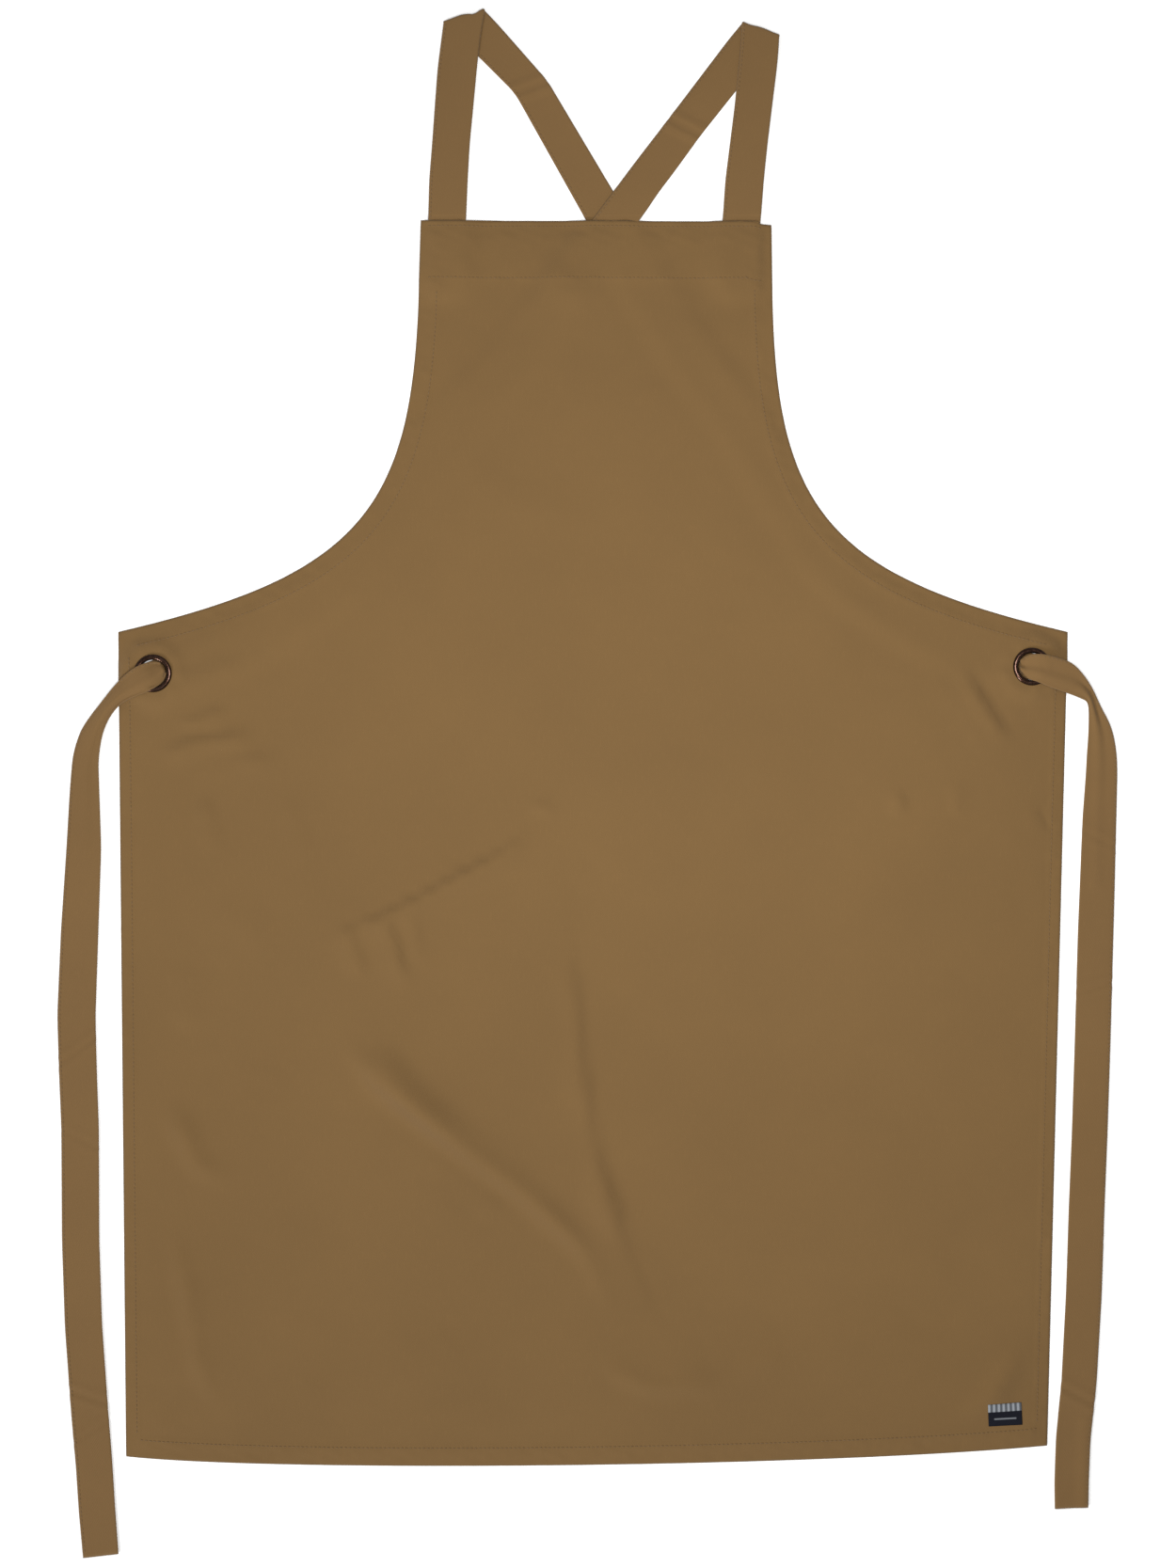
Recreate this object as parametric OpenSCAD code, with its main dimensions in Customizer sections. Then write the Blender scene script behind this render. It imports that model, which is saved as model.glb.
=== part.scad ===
// Cross-back bib apron, laid flat and face up.
// The straps are one long band each: sewn behind a bib corner, folded over at
// the top, crossed behind the bib and threaded up through the far eyelet.
// Origin: centre of the outer box on the surface it lies on.
// +Y runs from the hem to the shoulder loops, +Z is up out of the cloth.

/* [Panel] */
// Width of the bib's top edge
bib_w = 258; // [230:1:290]
// Width of the skirt at its top corners
skirt_w = 700; // [660:1:720]
// Width of the skirt at the bottom hem
hem_w = 679; // [640:1:700]
// Height of the bib's top edge above the origin
bib_top_y = 415; // [405:1:425]
// Depth of the armholes below the bib's top edge
armhole_d = 303; // [295:1:312]
// Length from the bib's top edge to the bottom corners
panel_len = 907; // [880:1:930]
// Extra length of the hem between its corners
hem_sag = 12; // [0:1:20]
// Sideways lean of the bib against the hem, as it is laid
lean = 7; // [0:0.5:10]
// Thickness of one layer of cloth
cloth_t = 0.7; // [0.5:0.1:0.9]

/* [Hems] */
// Depth of the turned hem along the bib's top
bib_hem_d = 44; // [30:1:50]
// Width of the facing along each armhole
facing_w = 15; // [10:1:18]
// Width of each side hem
side_hem_w = 10; // [6:1:11]
// Depth of the bottom hem
bottom_hem_d = 15; // [10:1:16]
// Width of a row of stitching
thread_w = 0.6; // [0.3:0.1:1]
// Height that the stitching stands above the cloth
thread_h = 0.2; // [0.1:0.05:0.3]

/* [Straps] */
// Width of the straps and ties
strap_w = 28; // [24:1:30]
// Thickness of a folded and stitched strap
strap_t = 1.4; // [1:0.1:1.6]
// Width that a strap is gathered to inside an eyelet
gather_w = 12; // [8:1:14]

/* [Eyelets] */
// Radius of the hole through an eyelet
eyelet_bore_r = 10; // [9:0.5:10.5]
// Radius of an eyelet's rim
eyelet_rim_r = 14; // [13:0.5:14.5]
// Height of an eyelet's domed rim above the cloth
eyelet_rim_h = 1.8; // [1:0.1:1.8]
// Wall of an eyelet's barrel
barrel_wall = 0.8; // [0.5:0.1:1]
// Thickness of the washer behind the cloth
washer_t = 1; // [0.5:0.1:1]

/* [Label] */
// Width of the woven label
label_w = 25; // [20:1:30]
// Height of the woven label
label_h = 16; // [12:1:20]
// Turn of the label, in degrees
label_turn = 3; // [0:1:6]

/* [Hidden] */
$fn = 64;

cloth_colour = [0.53, 0.41, 0.26];
strap_colour = [0.49, 0.38, 0.25];
thread_colour = [0.46, 0.35, 0.22];
metal_colour = [0.24, 0.21, 0.18];
label_colour = [0.12, 0.15, 0.27];

// Layers, from the surface up: lower strap, upper strap, hems, panel
layer_gap = 0.1;
upper_strap_z = strap_t + layer_gap;
hem_z = 2 * strap_t + 2 * layer_gap;
panel_z = hem_z + cloth_t;
panel_top = panel_z + cloth_t;
rim_top = panel_top + eyelet_rim_h;
tie_z = rim_top + 0.9;       // middle of a tie where it crosses its eyelet's rim
floor_z = strap_t / 2;       // middle of a strap that lies on the surface
fold_gap = 0.2;              // half the slit between the loops and the straps below the edge
sewn_in = 6;                 // distance from a strap's sewn end to the bottom of the bib hem
hem_gap = 2;                 // gap between the end of a side hem and its neighbours
seam_in = 2;                 // distance of the stitching from the inner edge of a hem
edge_row = 4;                // distance of the upper row of bib stitching from the edge
clearance = 0.1;
label_at = [307.5, -465];
label_t = 0.5;

// Panel outline
hem_cx = -1;
skirt_y = bib_top_y - armhole_d;
hem_y = bib_top_y - panel_len;
curve_y = bib_top_y - bib_hem_d;
function lay_x(y) = hem_cx + lean * (y - hem_y) / panel_len;
function edge(side, half, y) = [lay_x(y) + side * half, y];

curve_steps = 20;
function bezier(p, t) =
    pow(1 - t, 3) * p[0] + 3 * t * pow(1 - t, 2) * p[1]
    + 3 * t * t * (1 - t) * p[2] + pow(t, 3) * p[3];
function curve(p, n = curve_steps) = [for (i = [0:n]) bezier(p, i / n)];
function reverse(list) = [for (i = [len(list) - 1:-1:0]) list[i]];

// Each armhole falls almost straight from the bib, then sweeps out to the skirt's corner
function armhole(side) = curve([
    edge(side, bib_w / 2 + 1, curve_y),
    edge(side, bib_w / 2 + 4, curve_y - 166),
    edge(side, skirt_w / 2 - 184, skirt_y + 43),
    edge(side, skirt_w / 2, skirt_y)]);
hem_edge = curve([
    edge(-1, hem_w / 2, hem_y - 4),
    edge(-1, hem_w / 3, hem_y - 4 - hem_sag),
    edge(1, hem_w / 4, hem_y - hem_sag),
    edge(1, hem_w / 2, hem_y + 4)]);
function side_edge(side) = [
    edge(side, skirt_w / 2, skirt_y),
    side < 0 ? hem_edge[0] : hem_edge[curve_steps]];
bib_corners = [edge(-1, bib_w / 2, bib_top_y), edge(1, bib_w / 2, bib_top_y)];
panel_outline = concat(bib_corners, armhole(1), reverse(hem_edge), reverse(armhole(-1)));

// Points beside a path: to its left where d is positive
function unit(v) = v / norm(v);
function heading(path, i) =
    unit([for (k = [0, 1]) path[min(i + 1, len(path) - 1)][k] - path[max(i - 1, 0)][k]]);
function beside(path, i, d) =
    let (h = heading(path, i)) [path[i][0] - d * h[1], path[i][1] + d * h[0]];
function band(path, d0, d1) = concat(
    [for (i = [0:len(path) - 1]) beside(path, i, d0)],
    reverse([for (i = [0:len(path) - 1]) beside(path, i, d1)]));

// A point part of the way along a two-point line
function along(line, t) = line[0] + t * (line[1] - line[0]);
function trimmed(line, head, tail) =
    let (l = norm(line[1] - line[0])) [along(line, head / l), along(line, 1 - tail / l)];

// Strap loops above the bib. Each fold is the slanting top edge where a strap turns back
left_anchor = [-102, bib_top_y];
right_anchor = [113, bib_top_y];
left_slope = 0.07;
right_slope = 0.1;
left_fold = [[-107, 562.5], [-76, 572]];
right_fold = [[114, 562], [141, 552.5]];
left_crease = [[-54, 509], [-29, 519]];
cross_z = upper_strap_z + strap_t / 2;
right_back_route = [
    [124, 548, floor_z], [108, 530, floor_z], [90, 508, floor_z], [71, 484, floor_z],
    [58, 466, floor_z + 0.4], [46, 450, cross_z], [33, 433, cross_z],
    [20, bib_top_y + fold_gap, cross_z]];

// Both straps on their way behind the panel, from the crossing to the far eyelet
left_eyelet_at = [-320.5, 81.5];
right_eyelet_at = [327, 86.5];
left_hidden_route = [
    [16, bib_top_y - fold_gap, floor_z], [45, 365, floor_z], [83, 307, floor_z],
    [119, 260, floor_z], [151, 206, floor_z], [188, 154, floor_z], [240, 119, floor_z],
    [288, 97, floor_z], [322, 88, floor_z], [329, 86, floor_z]];
right_hidden_route = [
    [20, bib_top_y - fold_gap, cross_z], [-16, 365, cross_z], [-60, 309, floor_z],
    [-106, 256, floor_z], [-145, 203, floor_z], [-184, 152, floor_z], [-236, 114, floor_z],
    [-282, 92, floor_z], [-315, 83, floor_z], [-322, 81, floor_z]];

// The ties: up through the eyelet, over its rim, clear of the skirt and down to the surface
left_tie_route = [
    [-320.5, 81.5, 2.6], [-321.5, 81, 4.6], [-324, 79.5, tie_z - 0.5], [-329, 77, tie_z],
    [-338, 72, tie_z], [-347, 65.5, tie_z], [-354, 57.5, tie_z], [-360, 48.5, tie_z - 0.8],
    [-364, 41, 3.6], [-367, 32, 1.2], [-369, 22, floor_z], [-371, 0, floor_z],
    [-372, -46, floor_z], [-375, -108, floor_z], [-377, -171, floor_z],
    [-375, -254, floor_z], [-374, -337, floor_z], [-372, -400, floor_z],
    [-367, -462, floor_z], [-364, -503, floor_z], [-360, -571.2, floor_z]];
right_tie_route = [
    [327, 86.5, 2.6], [328, 86.2, 4.6], [331, 85.5, tie_z - 0.5], [336, 84, tie_z],
    [344, 81.5, tie_z], [353, 78, tie_z], [362, 72.5, tie_z], [368, 66.5, tie_z - 0.1],
    [371, 61, tie_z - 0.6], [373, 55.5, 5.2], [376, 47, 2.6], [378, 36.5, 1.1],
    [379, 23, floor_z], [379, 5, floor_z], [377, -25, floor_z], [374, -108, floor_z],
    [372, -192, floor_z], [370, -254, floor_z], [367, -316, floor_z], [365, -379, floor_z],
    [361, -441, floor_z], [357.5, -483, floor_z], [356, -534, floor_z]];

// Width of a tie at each point of its route, up to its full width along the side.
// The left one stays gathered past the skirt's edge; the right one pinches where it turns down
left_tie_widths = [
    for (i = [0:len(left_tie_route) - 1])
        i < 5 ? gather_w : min(strap_w, gather_w + 1.4 * (i - 4))];
pinch_i = 8;
pinch_w = 8;
right_tie_widths = [
    for (i = [0:len(right_tie_route) - 1])
        let (off = abs(i - pinch_i))
        i < 4 ? gather_w + i : min(strap_w - 2, pinch_w + 4.2 * off, 21 + off / 2)];
function gathered(route) = [
    for (i = [0:len(route) - 1]) i < len(route) - 3 ? strap_w - 1 : gather_w + 2];

// A ribbon of the strap's thickness swept along its middle line.
// An end named in cuts is cut along X instead of square across the strap
function ring(path, i, w, cut) =
    let (last = len(path) - 1,
         t = unit(path[min(i + 1, last)] - path[max(i - 1, 0)]),
         h = heading(path, i),
         s = cut ? [-1 / h[1], 0, 0] : [-h[1], h[0], 0],
         n = cross(t, s))
    [for (c = [[-1, -1], [1, -1], [1, 1], [-1, 1]])
        path[i] + s * c[0] * w / 2 + n * c[1] * strap_t / 2];
module ribbon(path, widths, cut_first = false, cut_last = false) {
    last = len(path) - 1;
    points = [for (i = [0:last])
        each ring(path, i, widths[i], (i == 0 && cut_first) || (i == last && cut_last))];
    walls = [for (i = [0:last - 1], c = [0:3])
        [4 * i + c, 4 * i + (c + 1) % 4, 4 * i + 4 + (c + 1) % 4, 4 * i + 4 + c]];
    polyhedron(points, concat([[3, 2, 1, 0]], walls, [[for (c = [0:3]) 4 * last + c]]));
}

// A flat stretch of strap with its underside at z
module flat_run(outline, z) translate([0, 0, z]) linear_extrude(strap_t) polygon(outline);

module apron_panel() color(cloth_colour)
    translate([0, 0, panel_z]) linear_extrude(cloth_t) difference() {
        polygon(panel_outline);
        for (at = [left_eyelet_at, right_eyelet_at])
            translate(at) circle(eyelet_bore_r + barrel_wall + clearance);
    }

module bib_top_hem() color(cloth_colour)
    translate([0, 0, hem_z]) linear_extrude(cloth_t)
        polygon([bib_corners[0], bib_corners[1], armhole(1)[0], armhole(-1)[0]]);

module armhole_facing(side) color(cloth_colour)
    translate([0, 0, hem_z]) linear_extrude(cloth_t)
        polygon(band(armhole(side), 0, side * -facing_w));

// The side hems stop short of the facings above and of the bottom hem below
module side_hem(side) color(cloth_colour)
    linear_extrude(panel_z)
        polygon(band(trimmed(side_edge(side), facing_w + hem_gap, bottom_hem_d + hem_gap),
                     0, side * -side_hem_w));

module bottom_hem() color(cloth_colour)
    linear_extrude(panel_z) polygon(band(hem_edge, 0, bottom_hem_d));

module eyelet(at) color(metal_colour)
    translate(at) rotate_extrude($fn = 96) polygon(concat(
        [[eyelet_bore_r, panel_z - washer_t], [eyelet_bore_r + barrel_wall, panel_z - washer_t],
         [eyelet_bore_r + barrel_wall, panel_top]],
        [for (a = [0:15:180])
            [(eyelet_rim_r + eyelet_bore_r) / 2 + (eyelet_rim_r - eyelet_bore_r) / 2 * cos(a),
             panel_top + eyelet_rim_h * sin(a)]]));

module eyelet_washer(at) color(metal_colour)
    translate([at[0], at[1], panel_z - washer_t]) difference() {
        cylinder(h = washer_t, r = eyelet_rim_r);
        translate([0, 0, -1])
            cylinder(h = washer_t + 2, r = eyelet_bore_r + barrel_wall + clearance);
    }

// The ends of the straps, caught in the bib's hem seam
module sewn_end(at, slope) color(strap_colour)
    flat_run([for (c = [[-1, sewn_in - bib_hem_d], [1, sewn_in - bib_hem_d],
                        [1, -fold_gap], [-1, -fold_gap]])
        [at[0] + c[0] * strap_w / 2 + c[1] * slope, at[1] + c[1]]], upper_strap_z);

// A front run goes from the bib's edge to the fold at the top of its loop
module front_run(at, slope, fold) color(strap_colour)
    flat_run([
        [at[0] - strap_w / 2 + fold_gap * slope, at[1] + fold_gap],
        [at[0] + strap_w / 2 + fold_gap * slope, at[1] + fold_gap],
        fold[1], fold[0]], upper_strap_z);

// The back runs lie below the front runs and cross at the bib's edge, the right one on top
module left_back_run() color(strap_colour)
    flat_run([[-1, bib_top_y + fold_gap], [32, bib_top_y + fold_gap],
              left_crease[1], left_fold[1], left_fold[0], left_crease[0]], 0);
module right_back_run() color(strap_colour)
    ribbon(right_back_route, [for (p = right_back_route) strap_w - 1], cut_last = true);

module hidden_run(route) color(strap_colour)
    ribbon(route, gathered(route), cut_first = true);

module tie(route, widths) color(strap_colour) ribbon(route, widths);

module woven_label() color(label_colour)
    translate([label_at[0], label_at[1], panel_top]) rotate(label_turn)
        linear_extrude(label_t) square([label_w, label_h], center = true);

// Rows of thread on the face of the panel
module thread_row(path, d) color(thread_colour)
    translate([0, 0, panel_top]) linear_extrude(thread_h)
        polygon(band(path, d - thread_w / 2, d + thread_w / 2));
module bib_stitching()
    for (d = [edge_row, bib_hem_d - seam_in])
        thread_row([for (side = [-1, 1]) edge(side, bib_w / 2 - 1, bib_top_y - d)], 0);
module armhole_stitching()
    for (side = [-1, 1]) thread_row(armhole(side), side * (seam_in - facing_w));
module side_hem_stitching()
    for (side = [-1, 1])
        thread_row(trimmed(side_edge(side), facing_w + hem_gap, bottom_hem_d + hem_gap),
                   side * (seam_in - side_hem_w));
module bottom_hem_stitching()
    thread_row([for (i = [1:curve_steps - 1]) hem_edge[i]], bottom_hem_d - seam_in);

apron_panel();
bib_top_hem();
armhole_facing(-1);  // left_armhole_facing
armhole_facing(1);  // right_armhole_facing
side_hem(-1);  // left_side_hem
side_hem(1);  // right_side_hem
bottom_hem();
eyelet(left_eyelet_at);  // left_eyelet
eyelet(right_eyelet_at);  // right_eyelet
eyelet_washer(left_eyelet_at);  // left_eyelet_washer
eyelet_washer(right_eyelet_at);  // right_eyelet_washer
sewn_end(left_anchor, left_slope);  // left_strap_sewn_end
sewn_end(right_anchor, right_slope);  // right_strap_sewn_end
front_run(left_anchor, left_slope, left_fold);  // left_strap_front_run
front_run(right_anchor, right_slope, right_fold);  // right_strap_front_run
left_back_run();  // left_strap_back_run
right_back_run();  // right_strap_back_run
hidden_run(left_hidden_route);  // left_strap_hidden_run
hidden_run(right_hidden_route);  // right_strap_hidden_run
tie(left_tie_route, left_tie_widths);  // left_tie
tie(right_tie_route, right_tie_widths);  // right_tie
woven_label();
bib_stitching();
armhole_stitching();
side_hem_stitching();
bottom_hem_stitching();
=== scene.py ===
import math

import bpy
import numpy as np
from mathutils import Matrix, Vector
from mathutils.geometry import delaunay_2d_cdt


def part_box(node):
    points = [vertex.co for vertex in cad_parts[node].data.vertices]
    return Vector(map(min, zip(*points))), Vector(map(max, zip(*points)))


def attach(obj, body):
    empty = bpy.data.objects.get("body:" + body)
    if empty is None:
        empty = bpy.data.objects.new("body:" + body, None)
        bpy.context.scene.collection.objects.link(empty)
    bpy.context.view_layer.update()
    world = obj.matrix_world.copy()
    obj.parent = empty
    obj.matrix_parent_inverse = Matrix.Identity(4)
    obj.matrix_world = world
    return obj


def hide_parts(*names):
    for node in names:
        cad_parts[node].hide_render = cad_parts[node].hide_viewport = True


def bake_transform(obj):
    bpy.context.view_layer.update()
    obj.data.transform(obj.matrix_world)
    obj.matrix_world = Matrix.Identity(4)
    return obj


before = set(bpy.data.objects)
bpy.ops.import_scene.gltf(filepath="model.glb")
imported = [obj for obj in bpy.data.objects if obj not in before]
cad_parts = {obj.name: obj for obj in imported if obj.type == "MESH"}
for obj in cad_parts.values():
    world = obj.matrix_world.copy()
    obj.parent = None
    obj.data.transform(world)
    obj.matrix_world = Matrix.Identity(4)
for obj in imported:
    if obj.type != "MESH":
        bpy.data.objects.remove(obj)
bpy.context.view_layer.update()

# Lengths below are in millimetres; MM turns them into metres when a mesh is made.
MM = 0.001


def box_mm(node):
    """Lowest and highest corner of a CAD node, in millimetres."""
    low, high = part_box(node)
    return np.array(low) / MM, np.array(high) / MM


def centre_mm(node):
    low, high = box_mm(node)
    return (low + high) / 2


# ---- sizes from the frame
PANEL_LOW, PANEL_HIGH = box_mm("apron_panel")
BIB_HEM_LOW, BIB_HEM_HIGH = box_mm("bib_top_hem")
LABEL_LOW, LABEL_HIGH = box_mm("woven_label")
EYELETS = {side: centre_mm(side + "_eyelet")[:2] for side in ("left", "right")}

BIB_TOP = PANEL_HIGH[1]
PANEL_TOP = PANEL_HIGH[2]
CLOTH_T = PANEL_HIGH[2] - PANEL_LOW[2]
SKIRT_HALF = (PANEL_HIGH[0] - PANEL_LOW[0]) / 2
BIB_HEM = BIB_HEM_HIGH[1] - BIB_HEM_LOW[1]
RIM_TOP = box_mm("left_eyelet")[1][2]
RIM_R = (box_mm("left_eyelet")[1][0] - box_mm("left_eyelet")[0][0]) / 2
WASHER_TOP = box_mm("left_eyelet_washer")[1][2]

# ---- panel sizes
BIB_HALF = 129
ARMHOLE_D = 303
PANEL_LEN = 907
HEM_HALF = 339.5
HEM_SAG = 12
HEM_CX = -1
LEAN = 7
HEM_Y = BIB_TOP - PANEL_LEN
SKIRT_Y = BIB_TOP - ARMHOLE_D
CURVE_Y = BIB_TOP - BIB_HEM
FACING_W = 15
SIDE_HEM_W = 10
BOTTOM_HEM_D = 15
SEAM_IN = 2           # stitching's distance from the inner edge of a hem
EDGE_ROW = 4          # upper row of bib stitching, from the edge
HOLE_R = 10.9         # hole through the panel at an eyelet
BORE_R = 10           # hole through an eyelet
DOME_R = (RIM_R - BORE_R) / 2

# ---- strap sizes
STRAP_W = 28
STRAP_T = 1.4
FLOOR_Z = STRAP_T / 2             # middle of a strap that lies on the surface
CROSS_Z = 2.2                     # middle of a strap that lies on another
HIDDEN_W = STRAP_W - 1


# ---- small geometry helpers
def lay_x(y):
    """The bib leans a little to the right of the hem, as the apron was laid down."""
    return HEM_CX + LEAN * (y - HEM_Y) / PANEL_LEN


def edge(side, half, y):
    return (lay_x(y) + side * half, y)


def bezier(points, n=40):
    p = np.array(points, float)
    t = np.linspace(0, 1, n + 1)[:, None]
    return (1 - t) ** 3 * p[0] + 3 * t * (1 - t) ** 2 * p[1] + 3 * t * t * (1 - t) * p[2] + t ** 3 * p[3]


def row_lengths(vectors):
    return np.linalg.norm(vectors, axis=-1)


def unit_rows(vectors):
    return vectors / row_lengths(vectors)[..., None]


def run_along(path):
    """Distance along a path, at each of its points."""
    return np.concatenate([[0], np.cumsum(row_lengths(np.diff(path, axis=0)))])


def at_run(where, run, path):
    """A path's values at distances along it."""
    return np.stack([np.interp(where, run, path[:, k]) for k in range(path.shape[1])], 1)


def resample(path, step):
    """The same path with points about a step apart; its ends stay."""
    path = np.array(path, float)
    run = run_along(path)
    n = max(1, int(round(run[-1] / step)))
    return at_run(np.linspace(0, run[-1], n + 1), run, path)


def smooth_path(points, step):
    """A Catmull-Rom curve through the points, resampled."""
    p = np.array(points, float)
    p = np.vstack([2 * p[0] - p[1], p, 2 * p[-1] - p[-2]])
    out = []
    for i in range(1, len(p) - 2):
        for t in np.linspace(0, 1, 12, endpoint=False):
            out.append(0.5 * (2 * p[i] + (p[i + 1] - p[i - 1]) * t
                              + (2 * p[i - 1] - 5 * p[i] + 4 * p[i + 1] - p[i + 2]) * t * t
                              + (3 * p[i] - p[i - 1] - 3 * p[i + 1] + p[i + 2]) * t ** 3))
    out.append(p[-2])
    return resample(out, step)


def smoothstep(low, high, value):
    t = np.clip((value - low) / (high - low), 0, 1)
    return t * t * (3 - 2 * t)


def smooth_max(a, b, soft):
    """The larger of two heights, with a rounded join."""
    h = np.clip(0.5 + 0.5 * (a - b) / soft, 0, 1)
    return b + (a - b) * h + soft * h * (1 - h)


CHUNK = 4000          # points handled at once, to limit memory


def to_path(points, path, sided=False):
    """Distance of each point to a path, how far along it its nearest place is, and its side."""
    path = np.array(path, float)[:, :2]
    a, b = path[:-1], path[1:]
    ab = b - a
    length = row_lengths(ab)
    start = np.concatenate([[0], np.cumsum(length)[:-1]])
    gap, run, side = (np.empty(len(points)) for _ in range(3))
    for i in range(0, len(points), CHUNK):
        part = slice(i, i + CHUNK)
        p = points[part, None, :] - a[None]
        t = np.clip((p * ab).sum(2) / (length ** 2), 0, 1)
        d = np.hypot(*(np.moveaxis(p - t[..., None] * ab, 2, 0)))
        k = d.argmin(1)
        rows = np.arange(len(k))
        near = p[rows, k]
        gap[part] = d[rows, k]
        run[part] = start[k] + t[rows, k] * length[k]
        side[part] = ab[k, 0] * near[:, 1] - ab[k, 1] * near[:, 0]
    return (gap, run, side) if sided else (gap, run)


def inside(points, outline):
    """Which points are inside a closed outline."""
    x, y = points[:, 0], points[:, 1]
    hit = np.zeros(len(points), bool)
    q = np.roll(outline, -1, axis=0)
    for (x0, y0), (x1, y1) in zip(outline, q):
        if y0 != y1:
            cross = (y0 > y) != (y1 > y)
            hit ^= cross & (x < (x1 - x0) * (y - y0) / (y1 - y0) + x0)
    return hit


def ripple(x, y, seed, wave, count=7):
    """A smooth random field of about unit height, made of a few sine waves."""
    rng = np.random.default_rng(seed)
    total = np.zeros_like(x, float)
    for _ in range(count):
        a = rng.uniform(0, math.tau)
        k = math.tau / (wave * rng.uniform(0.7, 1.6))
        total += np.sin(k * (x * math.cos(a) + y * math.sin(a)) + rng.uniform(0, math.tau))
    return total / math.sqrt(count / 2)


def make_object(name, verts_mm, faces, material=None, lay=None, edge_gap=None):
    """A smooth mesh from points in millimetres.

    lay is each point's place in the flat cloth and edge_gap its distance from the cloth's edge.
    """
    mesh = bpy.data.meshes.new(name)
    mesh.from_pydata((np.array(verts_mm) * MM).tolist(), [], faces)
    if material is not None:
        mesh.materials.append(material)
    if lay is not None:
        a = mesh.attributes.new("lay", "FLOAT_VECTOR", "POINT")
        flat = np.zeros((len(verts_mm), 3), np.float32)
        flat[:, :2] = np.array(lay)[:, :2] * MM
        a.data.foreach_set("vector", flat.ravel())
    if edge_gap is not None:
        a = mesh.attributes.new("edge_gap", "FLOAT", "POINT")
        a.data.foreach_set("value", (np.array(edge_gap) * MM).astype(np.float32))
    mesh.polygons.foreach_set("use_smooth", np.ones(len(mesh.polygons), bool))
    mesh.validate()
    mesh.update()
    obj = bpy.data.objects.new(name, mesh)
    bpy.context.scene.collection.objects.link(obj)
    return obj


# ---- materials
class Shade:
    """A new material, with short calls that add its nodes. Colours are linear RGB."""

    def __init__(self, name):
        self.material = bpy.data.materials.new(name)
        self.material.use_nodes = True
        self.nodes, self.links = self.material.node_tree.nodes, self.material.node_tree.links
        self.shader = self.nodes["Principled BSDF"]

    def feed(self, socket, value):
        """Links a node's output to a socket, or sets the socket to a number, colour or vector."""
        if isinstance(value, bpy.types.NodeSocket):
            self.links.new(value, socket)
        elif isinstance(value, tuple) and socket.type == "RGBA":
            socket.default_value = (*value, 1)
        else:
            socket.default_value = value

    def set(self, **inputs):
        """Sets the shader's inputs; an underscore in a name stands for a space."""
        for name, value in inputs.items():
            self.feed(self.shader.inputs[name.replace("_", " ")], value)

    def attribute(self, name, output):
        n = self.nodes.new("ShaderNodeAttribute")
        n.attribute_name = name
        return n.outputs[output]

    def split(self, vector):
        n = self.nodes.new("ShaderNodeSeparateXYZ")
        self.feed(n.inputs[0], vector)
        return n.outputs

    def math(self, kind, *values):
        n = self.nodes.new("ShaderNodeMath")
        n.operation = kind
        for socket, value in zip(n.inputs, values):
            self.feed(socket, value)
        return n.outputs[0]

    def vector(self, kind, *values):
        n = self.nodes.new("ShaderNodeVectorMath")
        n.operation = kind
        for socket, value in zip(n.inputs, values):
            self.feed(socket, value)
        return n.outputs["Value" if kind == "DOT_PRODUCT" else "Vector"]

    def mix(self, factor, a, b):
        n = self.nodes.new("ShaderNodeMix")
        n.data_type = "RGBA"
        self.feed(n.inputs["Factor"], factor)
        self.feed(n.inputs["A"], a)
        self.feed(n.inputs["B"], b)
        return n.outputs["Result"]

    def span(self, value, low, high, to_low, to_high):
        """Maps low..high to to_low..to_high, clamped."""
        n = self.nodes.new("ShaderNodeMapRange")
        for socket, number in zip(n.inputs, (value, low, high, to_low, to_high)):
            self.feed(socket, number)
        return n.outputs["Result"]

    def noise(self, place, scale, detail=2.0, rough=0.5):
        n = self.nodes.new("ShaderNodeTexNoise")
        self.feed(n.inputs["Vector"], place)
        self.feed(n.inputs["Scale"], scale)
        self.feed(n.inputs["Detail"], detail)
        self.feed(n.inputs["Roughness"], rough)
        return n.outputs["Fac"]

    def stripes(self, place, angle, pitch):
        """0 to 1 across parallel ribs, a pitch (in metres) apart, that run at an angle in degrees."""
        turn, k = math.radians(angle), math.tau / pitch
        wave = self.vector("DOT_PRODUCT", place, (-math.sin(turn) * k, math.cos(turn) * k, 0))
        return self.math("MULTIPLY_ADD", self.math("SINE", wave), 0.5, 0.5)

    def bump(self, height, strength, distance):
        n = self.nodes.new("ShaderNodeBump")
        self.feed(n.inputs["Strength"], strength)
        self.feed(n.inputs["Distance"], distance)
        self.feed(n.inputs["Height"], height)
        self.set(Normal=n.outputs["Normal"])


def scaled(colour, k):
    return tuple(min(1.0, c * k) for c in colour)


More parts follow.
